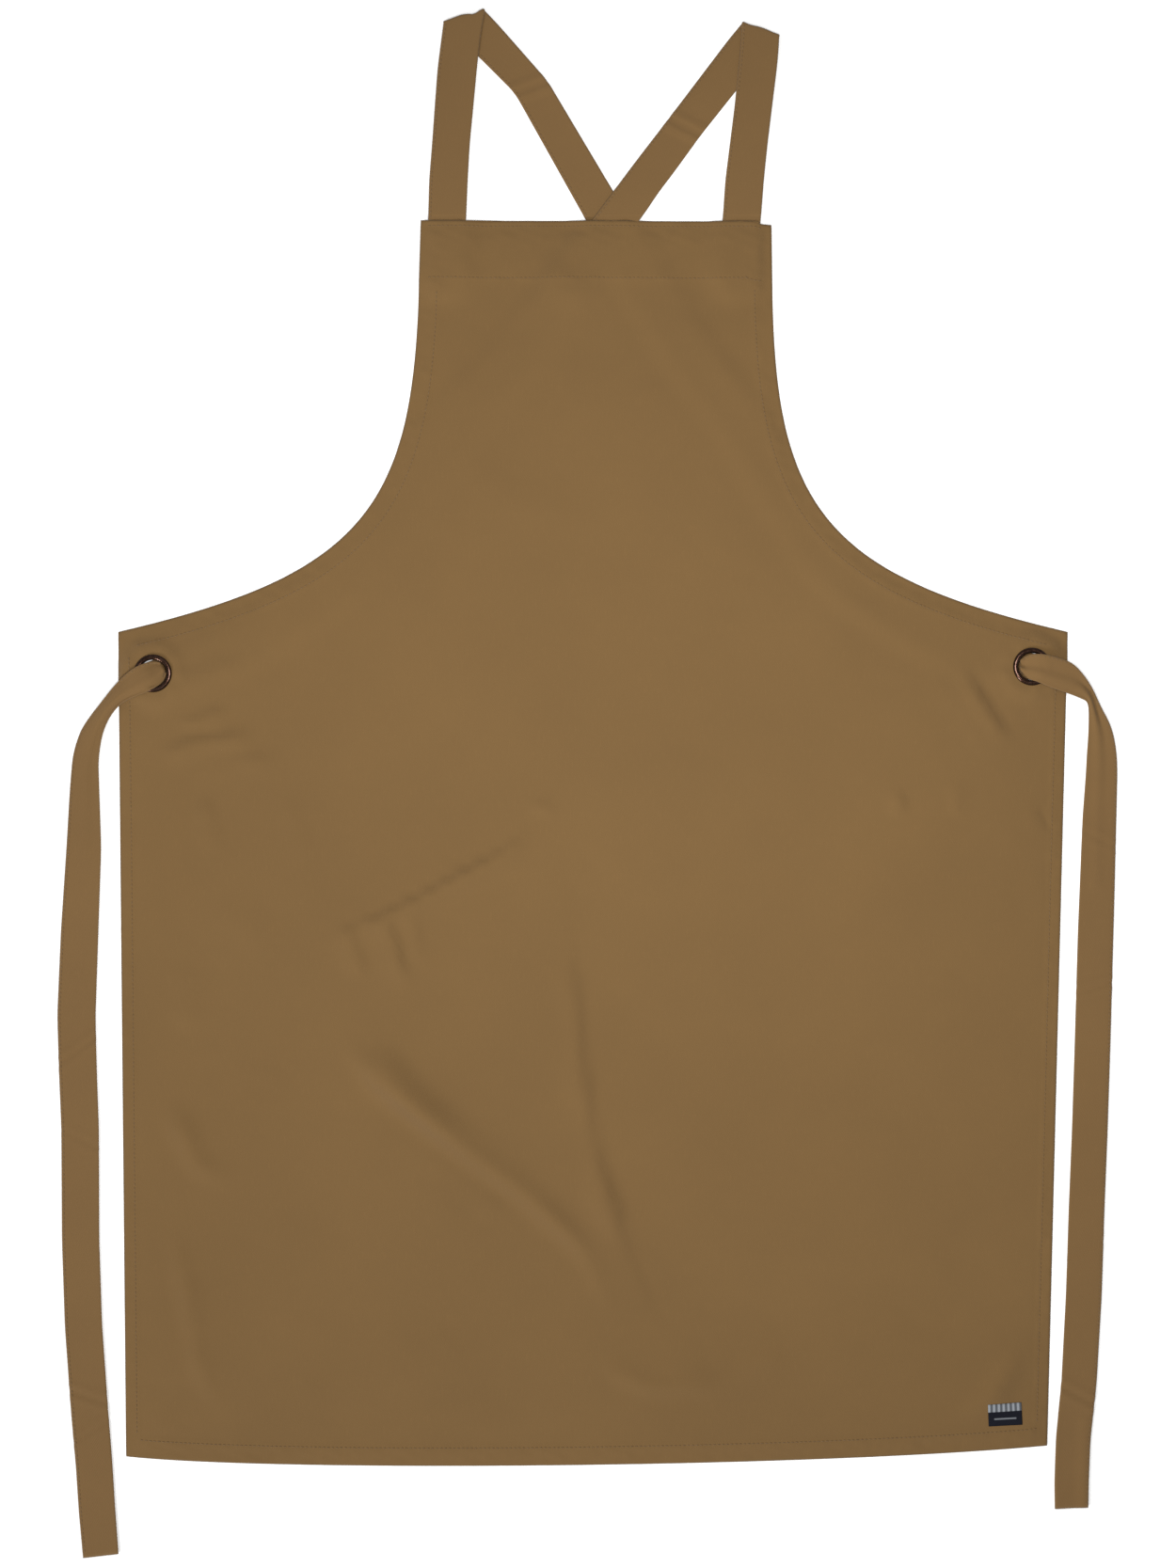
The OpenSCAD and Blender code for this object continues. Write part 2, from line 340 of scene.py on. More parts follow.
def twill(name, colour, rib_angle=63, rib_pitch=0.0011, seed=0.0, painted_edge_shade=0.4):
    """Cotton twill: diagonal ribs of twisted yarn, blotchy dye, fibre fuzz and painted shade along turned
    edges.
    """
    s = Shade(name)
    place = s.vector("ADD", s.attribute("lay", "Vector"), (seed, seed * 0.7, seed))
    wobble = s.noise(place, 140)
    spread = s.nodes.new("ShaderNodeCombineXYZ")
    s.feed(spread.inputs[0], wobble)
    s.feed(spread.inputs[1], wobble)
    swayed = s.vector("MULTIPLY_ADD", spread.outputs[0], (0.0008, 0.0005, 0), place)
    ribs = s.stripes(swayed, rib_angle, rib_pitch)
    yarns = s.stripes(swayed, 8, rib_pitch * 0.55)
    fuzz = s.noise(place, 2600, 2, 0.7)
    slub = s.noise(s.vector("MULTIPLY", place, (1.0, 0.12, 1.0)), 900, 2, 0.6)
    cloud = s.noise(place, 7, 3, 0.55)
    patch = s.noise(place, 55, 3, 0.6)

    tone = s.mix(s.span(cloud, 0.3, 0.7, 0, 1), scaled(colour, 0.955), scaled(colour, 1.045))
    tone = s.mix(s.span(patch, 0.35, 0.65, 0, 0.10), tone, scaled(colour, 0.85))
    tone = s.mix(s.span(ribs, 0, 1, 0.10, 0), tone, scaled(colour, 0.62))
    tone = s.mix(s.span(slub, 0.55, 0.75, 0, 0.14), tone, scaled(colour, 1.3))
    tone = s.mix(s.span(fuzz, 0.3, 0.7, 0.07, 0), tone, scaled(colour, 0.72))
    # Painted shade: the colour darkens within 1.5 mm of the cloth's edge, where a turned edge rounds away
    # from the light.
    at_edge = s.span(s.attribute("edge_gap", "Fac"), 0.0, 0.0015, painted_edge_shade, 0)
    shade = s.math("MULTIPLY", at_edge, s.span(patch, 0.4, 0.6, 0.6, 1))
    s.set(Base_Color=s.mix(shade, tone, scaled(colour, 0.45)))

    height = s.math("ADD", s.math("MULTIPLY", ribs, 0.7), s.math("MULTIPLY", yarns, 0.25))
    s.bump(s.math("ADD", height, s.math("MULTIPLY", fuzz, 0.35)), 0.55, 0.00012)
    s.set(Roughness=s.span(fuzz, 0.3, 0.7, 0.84, 0.95), Specular_IOR_Level=0.25,
          Sheen_Weight=0.12, Sheen_Roughness=0.55)
    return s.material


def thread_material(name, colour):
    """Twisted sewing thread."""
    s = Shade(name)
    place = s.attribute("lay", "Vector")
    ply = s.stripes(place, 40, 0.0004)
    tone = s.mix(s.noise(place, 300), scaled(colour, 0.85), scaled(colour, 1.2))
    s.set(Base_Color=s.mix(s.span(ply, 0, 1, 0.3, 0), tone, scaled(colour, 0.6)))
    s.bump(ply, 0.5, 0.00006)
    s.set(Roughness=0.6, Sheen_Weight=0.1)
    return s.material


def metal_material(name, colour, worn):
    """Antiqued brass: dark in its lows, rubbed pinkish on its crown, lacquered and finely scratched."""
    s = Shade(name)
    place = s.nodes.new("ShaderNodeTexCoord").outputs["Object"]
    blotch = s.noise(place, 420, 4, 0.6)
    fine = s.noise(place, 3200, 3, 0.6)
    crown = s.span(s.split(place)["Z"], (RIM_TOP - 0.7) * MM, RIM_TOP * MM, 0, 0.3)
    rub = s.math("MULTIPLY", crown, s.span(blotch, 0.42, 0.62, 0.1, 1))
    tone = s.mix(blotch, scaled(colour, 0.6), scaled(colour, 1.35))
    s.set(Base_Color=s.mix(rub, tone, worn), Roughness=s.span(fine, 0.3, 0.7, 0.16, 0.3),
          Metallic=1.0, Coat_Weight=0.3, Coat_Roughness=0.12)
    s.bump(fine, 0.25, 0.00008)
    return s.material


CLOTH_COLOUR = (0.161, 0.0897, 0.029)
STRAP_COLOUR = (0.166, 0.092, 0.031)
THREAD_COLOUR = (0.160, 0.089, 0.029)
METAL_COLOUR = (0.035, 0.013, 0.006)
METAL_WORN = (0.20, 0.115, 0.085)

panel_twill = twill("panel_twill", CLOTH_COLOUR)
# The straps get only a little painted shade along their edges.
strap_twill = twill("strap_twill", STRAP_COLOUR, rib_angle=70, seed=3.0, painted_edge_shade=0.1)
thread = thread_material("sewing_thread", THREAD_COLOUR)
bronze = metal_material("antique_bronze", METAL_COLOUR, METAL_WORN)


# ---- straps
# A band is a list of rungs. Each rung is the band's left end, its right end and its height.
COLUMNS = np.array([0, 0.014, 0.035, 0.065, 0.085, 0.12, 0.2, 0.3, 0.4, 0.5,
                    0.6, 0.7, 0.8, 0.88, 0.915, 0.935, 0.965, 0.986, 1])
EDGE_ROUND = np.array([0, 0.72, 0.97, 0.84, 0.93, 1.0] + [1] * 9 + [1.0, 0.98, 0.72, 0])


def rung(left, right, z):
    return [[*left, z], [*right, z]]


def rungs_from(*rows):
    """Rungs from rows of left x and y, right x and y, and height."""
    return [rung(row[:2], row[2:4], row[4]) for row in rows]


def rungs_along(route, widths):
    """Rungs square across a route whose points are (x, y, z)."""
    route = np.array(route, float)
    ahead = unit_rows(np.gradient(route[:, :2], axis=0))
    across = np.column_stack([ahead[:, 1], -ahead[:, 0], np.zeros(len(route))])
    half = across * np.array(widths, float)[:, None] / 2
    return list(np.stack([route + half, route - half], 1))


def fill_rungs(rungs, step):
    """Straight stretches between the rungs, about a step apart."""
    rungs = np.array(rungs, float)
    out = [rungs[0]]
    for a, b in zip(rungs[:-1], rungs[1:]):
        n = max(1, int(math.ceil(np.linalg.norm((b - a).mean(0)) / step)))
        for t in np.arange(1, n + 1) / n:
            out.append(a + (b - a) * t)
    return np.array(out)


def soften(rungs, passes, keep):
    """Rounds a band's corners, except at the rungs to keep."""
    rungs = rungs.copy()
    free = np.ones(len(rungs), bool)
    free[[0, -1]] = False
    free[list(keep)] = False
    for _ in range(passes):
        mean = (np.roll(rungs, 1, 0) + np.roll(rungs, -1, 0)) / 2
        rungs[free] += 0.5 * (mean - rungs)[free]
    return rungs


LEFT_FOLD = ((-107, 562.5), (-76.5, 572))
RIGHT_FOLD = ((114, 562.5), (141.5, 552.5))
FOLD_R = 0.88
FOLD_LOW = FLOOR_Z + 0.1
FOLD_HIGH = FOLD_LOW + 2 * FOLD_R


def fold_out(fold):
    """The direction out of a loop's top, square to its fold line."""
    along = unit_rows(np.subtract(fold[1], fold[0]))
    return np.array([-along[1], along[0]])


def fold_rungs(fold):
    """Half a turn round a fold line, from the upper layer down to the lower one."""
    left, right = np.array(fold, float)
    rungs = []
    for a in np.linspace(0, math.pi, 11):
        push = fold_out(fold) * (FOLD_R * math.sin(a) - FOLD_R - STRAP_T / 2)
        rungs.append(rung(left + push, right + push, FOLD_LOW + FOLD_R + FOLD_R * math.cos(a)))
    return rungs


def band_surface(rungs, lift=None):
    """The middle surface of a band, as a grid of points."""
    rungs = np.array(rungs, float)
    grid = rungs[:, None, 0] * (1 - COLUMNS)[None, :, None] + rungs[:, None, 1] * COLUMNS[None, :, None]
    if lift is not None:
        grid[:, :, 2] += lift
    return grid


def facing_alike(rows):
    """Unit normals, each row of them facing the same way as the row before."""
    rows = unit_rows(rows)
    for i in range(1, len(rows)):
        if (rows[i] * rows[i - 1]).sum() < 0:
            rows[i] *= -1
    return rows


def grid_cross(grid):
    """Directions square to a surface at each of its grid points, with no set length."""
    return np.cross(np.gradient(grid, axis=1), np.gradient(grid, axis=0))


def rings(top, bottom):
    """Each row of a band's top, then its bottom's inner columns on the way back."""
    return np.concatenate([top, bottom[:, -2:0:-1]], 1)


def band(name, grid, material, thickness=STRAP_T, along0=0.0):
    """A closed band of that thickness round its middle surface, with rounded edges."""
    rows, cols = grid.shape[:2]
    rise = facing_alike(grid_cross(grid)) * EDGE_ROUND[None, :, None] * thickness / 2
    width = row_lengths(grid[:, -1] - grid[:, 0])[:, None]
    across = (COLUMNS[None, :] - 0.5) * width
    along = np.repeat(run_along(grid[:, cols // 2])[:, None] + along0, cols, 1)
    gap = np.minimum(COLUMNS, 1 - COLUMNS)[None, :] * width
    lay = np.stack([rings(f, f).ravel() for f in (across, along)], 1)
    ring = 2 * cols - 2
    faces = []
    for i in range(rows - 1):
        for j in range(ring):
            k = (j + 1) % ring
            faces.append((i * ring + j, i * ring + k, (i + 1) * ring + k, (i + 1) * ring + j))
    for i in (0, rows - 1):
        for j in range(cols - 1):
            corners = (j, (ring - j) % ring, (ring - j - 1) % ring, j + 1)
            cap = [i * ring + v for v in dict.fromkeys(corners)]
            if len(cap) > 2:
                faces.append(cap[::-1] if i else cap)
    verts = rings(grid + rise, grid - rise).reshape(-1, 3)
    return make_object(name, verts, faces, material, lay, rings(gap, gap).ravel())


def strap_lift(rungs, seed, sway=0.5):
    """A strap's own unevenness: slow waves along it and a little cup across it."""
    run = run_along(rungs.mean(1))
    rng = np.random.default_rng(seed)
    u = COLUMNS[None, :] * 2 - 1

    def waves(count, low, high):
        return sum(np.sin(run[:, None] / rng.uniform(low, high) + rng.uniform(0, 6.28))
                   for _ in range(count)) / count

    wave, tilt = waves(3, 14, 40), waves(2, 25, 60)
    return sway * (0.25 * (wave + 1) + 0.3 * tilt * u + 0.12 * (u * u)), run


def crease_lift(rungs, at, depth, width, slant=0.0):
    """A press crease across a band, near the point at: a low with a ridge on each side of it."""
    mid = rungs.mean(1)
    run = run_along(mid)
    nearest = row_lengths(mid[:, :2] - np.array(at)).argmin()
    s = (run - run[nearest])[:, None] + slant * (COLUMNS[None, :] - 0.5) * STRAP_W
    ridges = 0.8 * np.exp(-((np.abs(s) - 1.6 * width) / width) ** 2)
    return depth * (ridges - np.exp(-(s / width) ** 2))


left_front = rungs_from(
    (-120, 377, -92, 377, CROSS_Z), (-118.1, 408, -90.1, 408, CROSS_Z),
    (-117.9, 415, -89.9, 415, CROSS_Z), (-117.6, 424, -89.5, 424, CROSS_Z),
    (-117.1, 445, -88.7, 445, 1.6), (-115.0, 472, -87.2, 472, 1.2), (-113.0, 500, -84.5, 500, 1.4),
    (-110.9, 527.5, -81.9, 527.5, 1.9), (-108.2, 548, -79.2, 553, FOLD_HIGH))
left_back = rungs_from(
    (-94, 549.8, -66, 559.8, FOLD_LOW), (-54, 509.7, -29.8, 518.7, FLOOR_Z),
    (-5.5, 423, 27.2, 423, FLOOR_Z), (-1, 415, 32, 415, FLOOR_Z), (3.2, 408, 36.4, 408, FLOOR_Z))
left_hidden = [(45, 365), (83, 307), (119, 260), (151, 206), (188, 154), (240, 119), (288, 97),
               (322, 88), (329, 86)]
right_front = rungs_from(
    (95.4, 377, 123.4, 377, CROSS_Z), (98.7, 408, 126.8, 408, CROSS_Z),
    (99.1, 415, 127.2, 415, CROSS_Z), (99.8, 424, 128, 424, CROSS_Z),
    (101.2, 445, 129.6, 445, 1.6), (104.6, 472, 132.4, 472, 1.3), (108.1, 500, 135.8, 500, 1.6),
    (111.2, 530, 139.0, 526, 2.1), (112.8, 547, 140.2, 538, FOLD_HIGH))
right_back = rungs_from(
    (104, 549.6, 131.5, 539.4, FOLD_LOW), (59.6, 491, 83.2, 478.5, FLOOR_Z),
    (37, 461.5, 63.5, 451.2, FLOOR_Z + 0.7), (21, 440, 52, 436, CROSS_Z),
    (8.4, 423, 43.3, 423, CROSS_Z), (2.4, 415, 37.5, 415, CROSS_Z), (-2.8, 408, 32, 408, CROSS_Z))
right_hidden = [(-16, 365), (-60, 309), (-106, 256), (-145, 203), (-184, 152), (-236, 114), (-282, 92),
                (-315, 83), (-322, 81)]


def hidden_rungs(route, first_z):
    """A strap's run behind the panel, from the crossing down to where it narrows at its eyelet."""
    heights = [first_z] + [FLOOR_Z] * (len(route) - 1)
    path = smooth_path([(*p, z) for p, z in zip(route, heights)], 12)
    widths = np.full(len(path), float(HIDDEN_W))
    widths[-3:] = (24, 21, 19)
    return rungs_along(path, widths)


def across_bib(piece):
    """Bakes a piece's placement into its mesh."""
    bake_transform(piece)


def fold_dent(grid, fold, dents):
    """Pushes a loop's folded top in or out here and there, as a soft fold lies."""
    out = fold_out(fold)
    near = np.exp(-(((np.mean(fold, 0) - grid[:, :, :2]) @ out) / 9) ** 2)
    push = sum(size * np.exp(-((COLUMNS - at) / width) ** 2) for at, size, width in dents)
    dented = grid.copy()
    dented[:, :, :2] += (near * push[None])[..., None] * out
    return dented


BAND_STEP = 3.0       # rungs are this far apart, and closer where the band bends over the bib's edge
BEND_STEP = 0.8
BEND_REACH = 9
FOLD_REACH = 3.2      # rungs this near a fold keep their shape
SEWN_REACH = 4        # the strap lies smooth up to here above the bib's edge


def strap(side, front, fold, back, crease_at, dents, seed):
    """One shoulder strap: sewn end, loop, crossing and the run behind the panel."""
    rough = front + fold_rungs(fold) + back
    steps = []
    for a, b in zip(rough[:-1], rough[1:]):
        at_edge = abs(np.mean([a, b], axis=(0, 1))[1] - BIB_TOP) < BEND_REACH
        steps.append(fill_rungs([a, b], BEND_STEP if at_edge else BAND_STEP)[:-1])
    rungs = np.concatenate(steps + [np.array([rough[-1]], float)])
    near_fold = np.where(row_lengths(rungs.mean(1)[:, :2] - np.mean(fold, 0)) < FOLD_REACH)[0]
    rungs = soften(rungs, 6, near_fold)
    lift, run = strap_lift(rungs, seed)
    lift += crease_lift(rungs, crease_at, 1.4, 2.6)
    visible = (rungs.mean(1)[:, 1] > BIB_TOP + SEWN_REACH)[:, None]
    # The lift eases in on both sides of the fold.
    away = np.ones(len(rungs))
    away[near_fold] = 0
    for _ in range(12):
        away[1:-1] = np.minimum(away[1:-1], (away[:-2] + away[2:]) / 2 + 0.04)
    grid = fold_dent(band_surface(rungs, np.where(visible, lift, 0.0) * away[:, None]), fold, dents)
    grid[:, :, 2] = np.maximum(grid[:, :, 2], FLOOR_Z + 0.03)
    piece = band(side + "_strap_band", grid, strap_twill)
    across_bib(piece)
    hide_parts(*(f"{side}_strap_{part}" for part in STRAP_PARTS))
    return piece, grid, float(run[-1]) * MM


STRAP_PARTS = ("sewn_end", "front_run", "back_run", "hidden_run")
left_strap, left_grid, left_len = strap(
    "left", left_front, LEFT_FOLD, left_back + hidden_rungs(left_hidden, FLOOR_Z), (-42, 514),
    [(0.4, 0.5, 0.16), (0.74, -1.7, 0.12)], 11)
right_strap, right_grid, right_len = strap(
    "right", right_front, RIGHT_FOLD, right_back + hidden_rungs(right_hidden, CROSS_Z), (71, 484.5),
    [(0.55, 0.5, 0.2), (0.2, -0.5, 0.14)], 12)


# ---- panel outline
def armhole(side):
    """An armhole falls almost straight from the bib, then sweeps out to the skirt's corner."""
    return bezier([edge(side, BIB_HALF + 1, CURVE_Y), edge(side, BIB_HALF + 4, CURVE_Y - 166),
                   edge(side, SKIRT_HALF - 184, SKIRT_Y + 43), edge(side, SKIRT_HALF, SKIRT_Y)])


CORNER_DROP = 3
hem_edge = bezier([edge(-1, HEM_HALF, HEM_Y - 4), edge(-1, HEM_HALF * 2 / 3, HEM_Y - 4 - HEM_SAG),
                   edge(1, HEM_HALF / 2, HEM_Y - HEM_SAG), edge(1, HEM_HALF, HEM_Y + 4)])
# The top edge is level, and its right corner has slipped down beside the strap.
top_edge = np.array([edge(-1, BIB_HALF, BIB_TOP + 0.4), (0, BIB_TOP + 0.2), (125, BIB_TOP - 0.2),
                     (127.5, BIB_TOP - CORNER_DROP + 0.4), edge(1, BIB_HALF, BIB_TOP - CORNER_DROP)])
EDGES = {
    "top": top_edge,
    "right_upper": np.array([top_edge[-1], armhole(1)[0]]),
    "right_armhole": armhole(1),
    "right_side": np.array([armhole(1)[-1], hem_edge[-1]]),
    "bottom": hem_edge[::-1],
    "left_side": np.array([hem_edge[0], armhole(-1)[-1]]),
    "left_armhole": armhole(-1)[::-1],
    "left_upper": np.array([armhole(-1)[0], top_edge[0]]),
}
OUTLINE_STEP = 2.6
outline = np.concatenate([resample(path, OUTLINE_STEP)[:-1] for path in EDGES.values()])
# Each hem's width, and how far its rows of stitching are from the edge
HEM_OF = {"top": (BIB_HEM, (EDGE_ROW, BIB_HEM - SEAM_IN)),
          "right_armhole": (FACING_W, (FACING_W - SEAM_IN,)),
          "left_armhole": (FACING_W, (FACING_W - SEAM_IN,)),
          "right_side": (SIDE_HEM_W, (SIDE_HEM_W - SEAM_IN,)),
          "left_side": (SIDE_HEM_W, (SIDE_HEM_W - SEAM_IN,)),
          "bottom": (BOTTOM_HEM_D, (BOTTOM_HEM_D - SEAM_IN,))}
GAP_STEP = 7
gap_paths = {key: resample(path, GAP_STEP) for key, path in EDGES.items()}


# ---- how the panel lies
LATTICE = 7.0
MARGIN = 12
xs = np.arange(PANEL_LOW[0] - MARGIN, PANEL_HIGH[0] + MARGIN, LATTICE)
ys = np.arange(PANEL_LOW[1] - MARGIN, PANEL_HIGH[1] + MARGIN, LATTICE)
LX, LY = np.meshgrid(xs, ys)
lattice = np.stack([LX.ravel(), LY.ravel()], 1)


def edge_distance(points):
    """Distance of each point to the panel's outline."""
    return to_path(points, np.vstack([outline, outline[:1]]))[0]


def strap_support(points, grid):
    """Height of a strap's top over each point, falling off over its edges."""
    mid = grid[:, grid.shape[1] // 2]
    below = (mid[:, 1] < BIB_TOP).astype(int)
    height = np.zeros(len(points))
    for a, b in np.where(np.diff(np.concatenate([[0], below, [0]])))[0].reshape(-1, 2):
        path = mid[a:b]
        if len(path) > 1:
            gap, run = to_path(points, path)
            top = np.interp(run, run_along(path[:, :2]), path[:, 2]) + STRAP_T / 2
            fall = smoothstep(HIDDEN_W / 2 - 3, HIDDEN_W / 2 + 15, gap)
            height = np.maximum(height, top * (1 - fall))
    return height


def support_height(points):
    """Top of whatever lies under the panel: straps, washers or the bare surface."""
    height = np.maximum(strap_support(points, left_grid), strap_support(points, right_grid))
    for at in EYELETS.values():
        fall = smoothstep(RIM_R + 1, RIM_R + 16, row_lengths(points - at))
        height = np.maximum(height, WASHER_TOP * (1 - fall))
    return height


# Creases left by folding and handling: points, height, and width to the left and right of the
# way that the points run. A narrow side is a steep flank.
CREASES = [
    # the long fold that sweeps from the left side to the middle of the hem
    ([(-202, -158), (-183, -185), (-156, -214), (-116, -248), (-88, -271), (-49, -300),
      (-20, -325), (0, -348), (16, -384), (32, -421)], 4.4, 30, 8),
    ([(-183, -185), (-156, -214), (-116, -248), (-88, -271)], 2.4, 34, 12),
    # the upright fold below the waist
    ([(-20, -80), (-14, -150), (-7, -218), (0, -263), (13, -308), (29, -353), (50, -404)], 3.2, 8, 34),
    # where both run out at the hem
    ([(5, -415), (27, -436), (59, -445), (103, -441)], 2.4, 22, 8),
    ([(60, -436), (98, -442), (130, -424), (163, -399)], 1.8, 14, 16),
    # the crumple to the left of the middle
    ([(-207, -121), (-168, -105), (-134, -90), (-95, -69), (-61, -50), (-25, -23)], 3.2, 4, 14),
    ([(-151, -92), (-143, -118), (-133, -152)], 2.6, 4, 12),
    ([(-178, -102), (-172, -124), (-165, -146)], 1.6, 4, 9),
    ([(-133, -92), (-126, -112), (-121, -136)], 1.2, 4, 8),
    ([(-286, -84), (-258, -104), (-228, -130)], 1.8, 16, 18),
    # pulls beside the eyelets
    ([(-322, 20), (-281, 32), (-240, 35)], 2.6, 5, 12),
    ([(-305, 43), (-284, 49), (-262, 52)], 2.0, 4, 9),
    ([(-300, 8), (-255, 16), (-222, 20)], 1.3, 6, 12),
    ([(-284, -6), (-279, -30), (-277, -56)], 1.6, 5, 9),
    ([(-226, -4), (-214, -34), (-212, -66)], 1.4, 9, 12),
    ([(-300, 66), (-276, 82), (-250, 88)], 1.0, 8, 12),
    ([(271, 92), (290, 58), (313, 24)], 3.0, 5, 14),
    ([(254, 82), (278, 48), (298, 14)], 1.4, 7, 12),
    ([(327, -12), (333, -27), (340, -42)], 1.8, 4, 9),
    ([(229, -2), (229, -12), (230, -24)], 1.4, 4, 6),
    ([(274, 2), (275, -10), (273, -24)], 1.4, 4, 6),
    # soft swells on the bib
    ([(-121, 262), (-84, 232), (-45, 205), (45, 196)], 1.3, 14, 16),
    ([(-110, 345), (-104, 310), (-96, 276)], 1.3, 12, 16),
    ([(36, 304), (58, 280), (80, 254)], 1.8, 22, 24),
    ([(-150, 204), (-185, 168), (-225, 138)], 1.3, 10, 10),
    # the left side and its corner
    ([(-300, -127), (-297, -160), (-295, -190)], 1.8, 18, 8),
    ([(-311, -232), (-298, -262), (-285, -284), (-255, -289)], 2.2, 12, 7),
    ([(-308, -312), (-294, -381), (-282, -438), (-255, -477)], 2.8, 30, 8),
    ([(-230, -430), (-190, -452), (-150, -440)], 1.2, 14, 14),
    # the right side and its corner
    ([(142, -291), (165, -223), (221, -195), (340, -190)], 1.8, 14, 30),
    ([(175, -215), (240, -170), (320, -168)], 1.2, 18, 18),
    ([(250, -487), (286, -462), (313, -432), (332, -392)], 2.6, 9, 16),
    ([(-36, -10), (-29, -22)], 1.8, 4, 6),
]


def crease_height(points, creases):
    """Ridges along the creases, running out to nothing at their ends."""
    total = np.zeros(len(points))
    for path, height, left, right in creases:
        line = smooth_path(path, 6)
        gap, run, side = to_path(points, line, sided=True)
        length = run_along(line)[-1]
        ends = smoothstep(0, 0.35 * length, run) * smoothstep(0, 0.35 * length, length - run)
        total += height * ends * np.exp(-(gap / np.where(side > 0, left, right)) ** 2)
    return total


SIM_SCALE = 10.0      # the cloth solver works poorly on millimetre gaps, so it runs 10 times life size
SIM_FRAMES = 24
CREASE_MEMORY = 0.45   # how much of a pressed crease the settled cloth keeps
SIM_GAP = 1.0         # the solver keeps the cloth this far off what lies under it


def grid_faces(keep):
    """The lattice's squares whose four corners are all kept, numbered among the kept points."""
    keep = keep.reshape(LX.shape)
    index = np.cumsum(keep).reshape(LX.shape) - 1
    whole = keep[:-1, :-1] & keep[:-1, 1:] & keep[1:, 1:] & keep[1:, :-1]
    corners = (index[:-1, :-1], index[:-1, 1:], index[1:, 1:], index[1:, :-1])
    return np.stack([corner[whole] for corner in corners], 1).tolist()


def drop_cloth(start, under, keep, pinned):
    """Blender's cloth solver: the creased sheet settles on the surface and the straps under it."""
    scene = bpy.context.scene
    unit_scale = MM * SIM_SCALE
    base = make_object("sim_support", np.column_stack([lattice, under]) * SIM_SCALE,
                       grid_faces(np.ones(len(lattice), bool)))
    base.modifiers.new("Collision", "COLLISION")
    base.collision.thickness_outer = SIM_GAP * unit_scale
    base.collision.cloth_friction = 30
    flat = np.column_stack([lattice, start])[keep] * SIM_SCALE
    sheet = make_object("sim_sheet", flat, grid_faces(keep))
    group = sheet.vertex_groups.new(name="pin")
    group.add([int(i) for i in np.where(pinned[keep])[0]], 1.0, "REPLACE")
    cloth = sheet.modifiers.new("Cloth", "CLOTH")
    s = cloth.settings
    s.quality = 6
    s.mass = 0.35
    s.air_damping = 2.0
    s.tension_stiffness = s.compression_stiffness = 25
    s.shear_stiffness = 12
    s.bending_stiffness = 8
    s.tension_damping = s.compression_damping = s.shear_damping = 8
    s.vertex_group_mass = "pin"
    cloth.collision_settings.distance_min = SIM_GAP * unit_scale
    cloth.collision_settings.collision_quality = 2
    cloth.point_cache.frame_end = SIM_FRAMES
    for f in range(1, SIM_FRAMES + 1):
        scene.frame_set(f)
    shaped = sheet.evaluated_get(bpy.context.evaluated_depsgraph_get()).to_mesh()
    co = np.zeros(len(shaped.vertices) * 3)
    shaped.vertices.foreach_get("co", co)
    settled = start.copy()
    settled[keep] = co.reshape(-1, 3)[:, 2] / unit_scale
    scene.frame_set(1)
    for o in (sheet, base):
        mesh = o.data
        bpy.data.objects.remove(o)
        bpy.data.meshes.remove(mesh)
    return settled


def spread_outward(height, keep, passes=14):
    """Carries the sheet's height a little past its edge, for smooth sampling there."""
    h = np.where(keep, height, np.nan).reshape(LX.shape)
    for _ in range(passes):
        pad = np.pad(h, 1, constant_values=np.nan)
        around = np.stack([pad[1:-1, :-2], pad[1:-1, 2:], pad[:-2, 1:-1], pad[2:, 1:-1]])
        count = (~np.isnan(around)).sum(0)
        mean = np.where(count > 0, np.nansum(around, 0) / np.maximum(count, 1), np.nan)
        h = np.where(np.isnan(h), mean, h)
    return np.nan_to_num(h)


def settle():
    """Height of the middle of the cloth over the lattice."""
    keep = inside(lattice, outline)
    gap = to_path(lattice, np.vstack([outline[::3], outline[:1]]))[0]
    pinned = keep & (gap < LATTICE * 1.1)
    for at in EYELETS.values():
        pinned |= keep & (row_lengths(lattice - at) < RIM_R + 3)
    under = support_height(lattice)
    rest = under + CLOTH_T / 2
    ease = 0.8 * (ripple(LX, LY, 5, 130) + 0.6 * ripple(LX, LY, 6, 60)).ravel()
    away = smoothstep(4, 45, gap)
    creases = crease_height(lattice, CREASES)
    start = rest + away * np.maximum(creases + ease + 1.4, 0)
    settled = drop_cloth(start + SIM_GAP, under, keep, pinned) - SIM_GAP
    settled = np.maximum(np.maximum(settled, rest) + CREASE_MEMORY * away * creases, rest)
    return spread_outward(settled, keep)


HEIGHT = settle()


def sample(field, points):
    """Smooth (Catmull-Rom) sampling of a lattice field."""
    fx = (points[:, 0] - xs[0]) / LATTICE
    fy = (points[:, 1] - ys[0]) / LATTICE
    ix = np.clip(np.floor(fx).astype(int), 1, len(xs) - 3)
    iy = np.clip(np.floor(fy).astype(int), 1, len(ys) - 3)

    def weights(t):
        return (-0.5 * t + t * t - 0.5 * t ** 3, 1 - 2.5 * t * t + 1.5 * t ** 3,
                0.5 * t + 2 * t * t - 1.5 * t ** 3, -0.5 * t * t + 0.5 * t ** 3)

    wx, wy = weights(np.clip(fx - ix, 0, 1)), weights(np.clip(fy - iy, 0, 1))
    total = np.zeros(len(points))
    for a in range(4):
        for b in range(4):
            total += wy[a] * wx[b] * field[iy + a - 1, ix + b - 1]
    return total


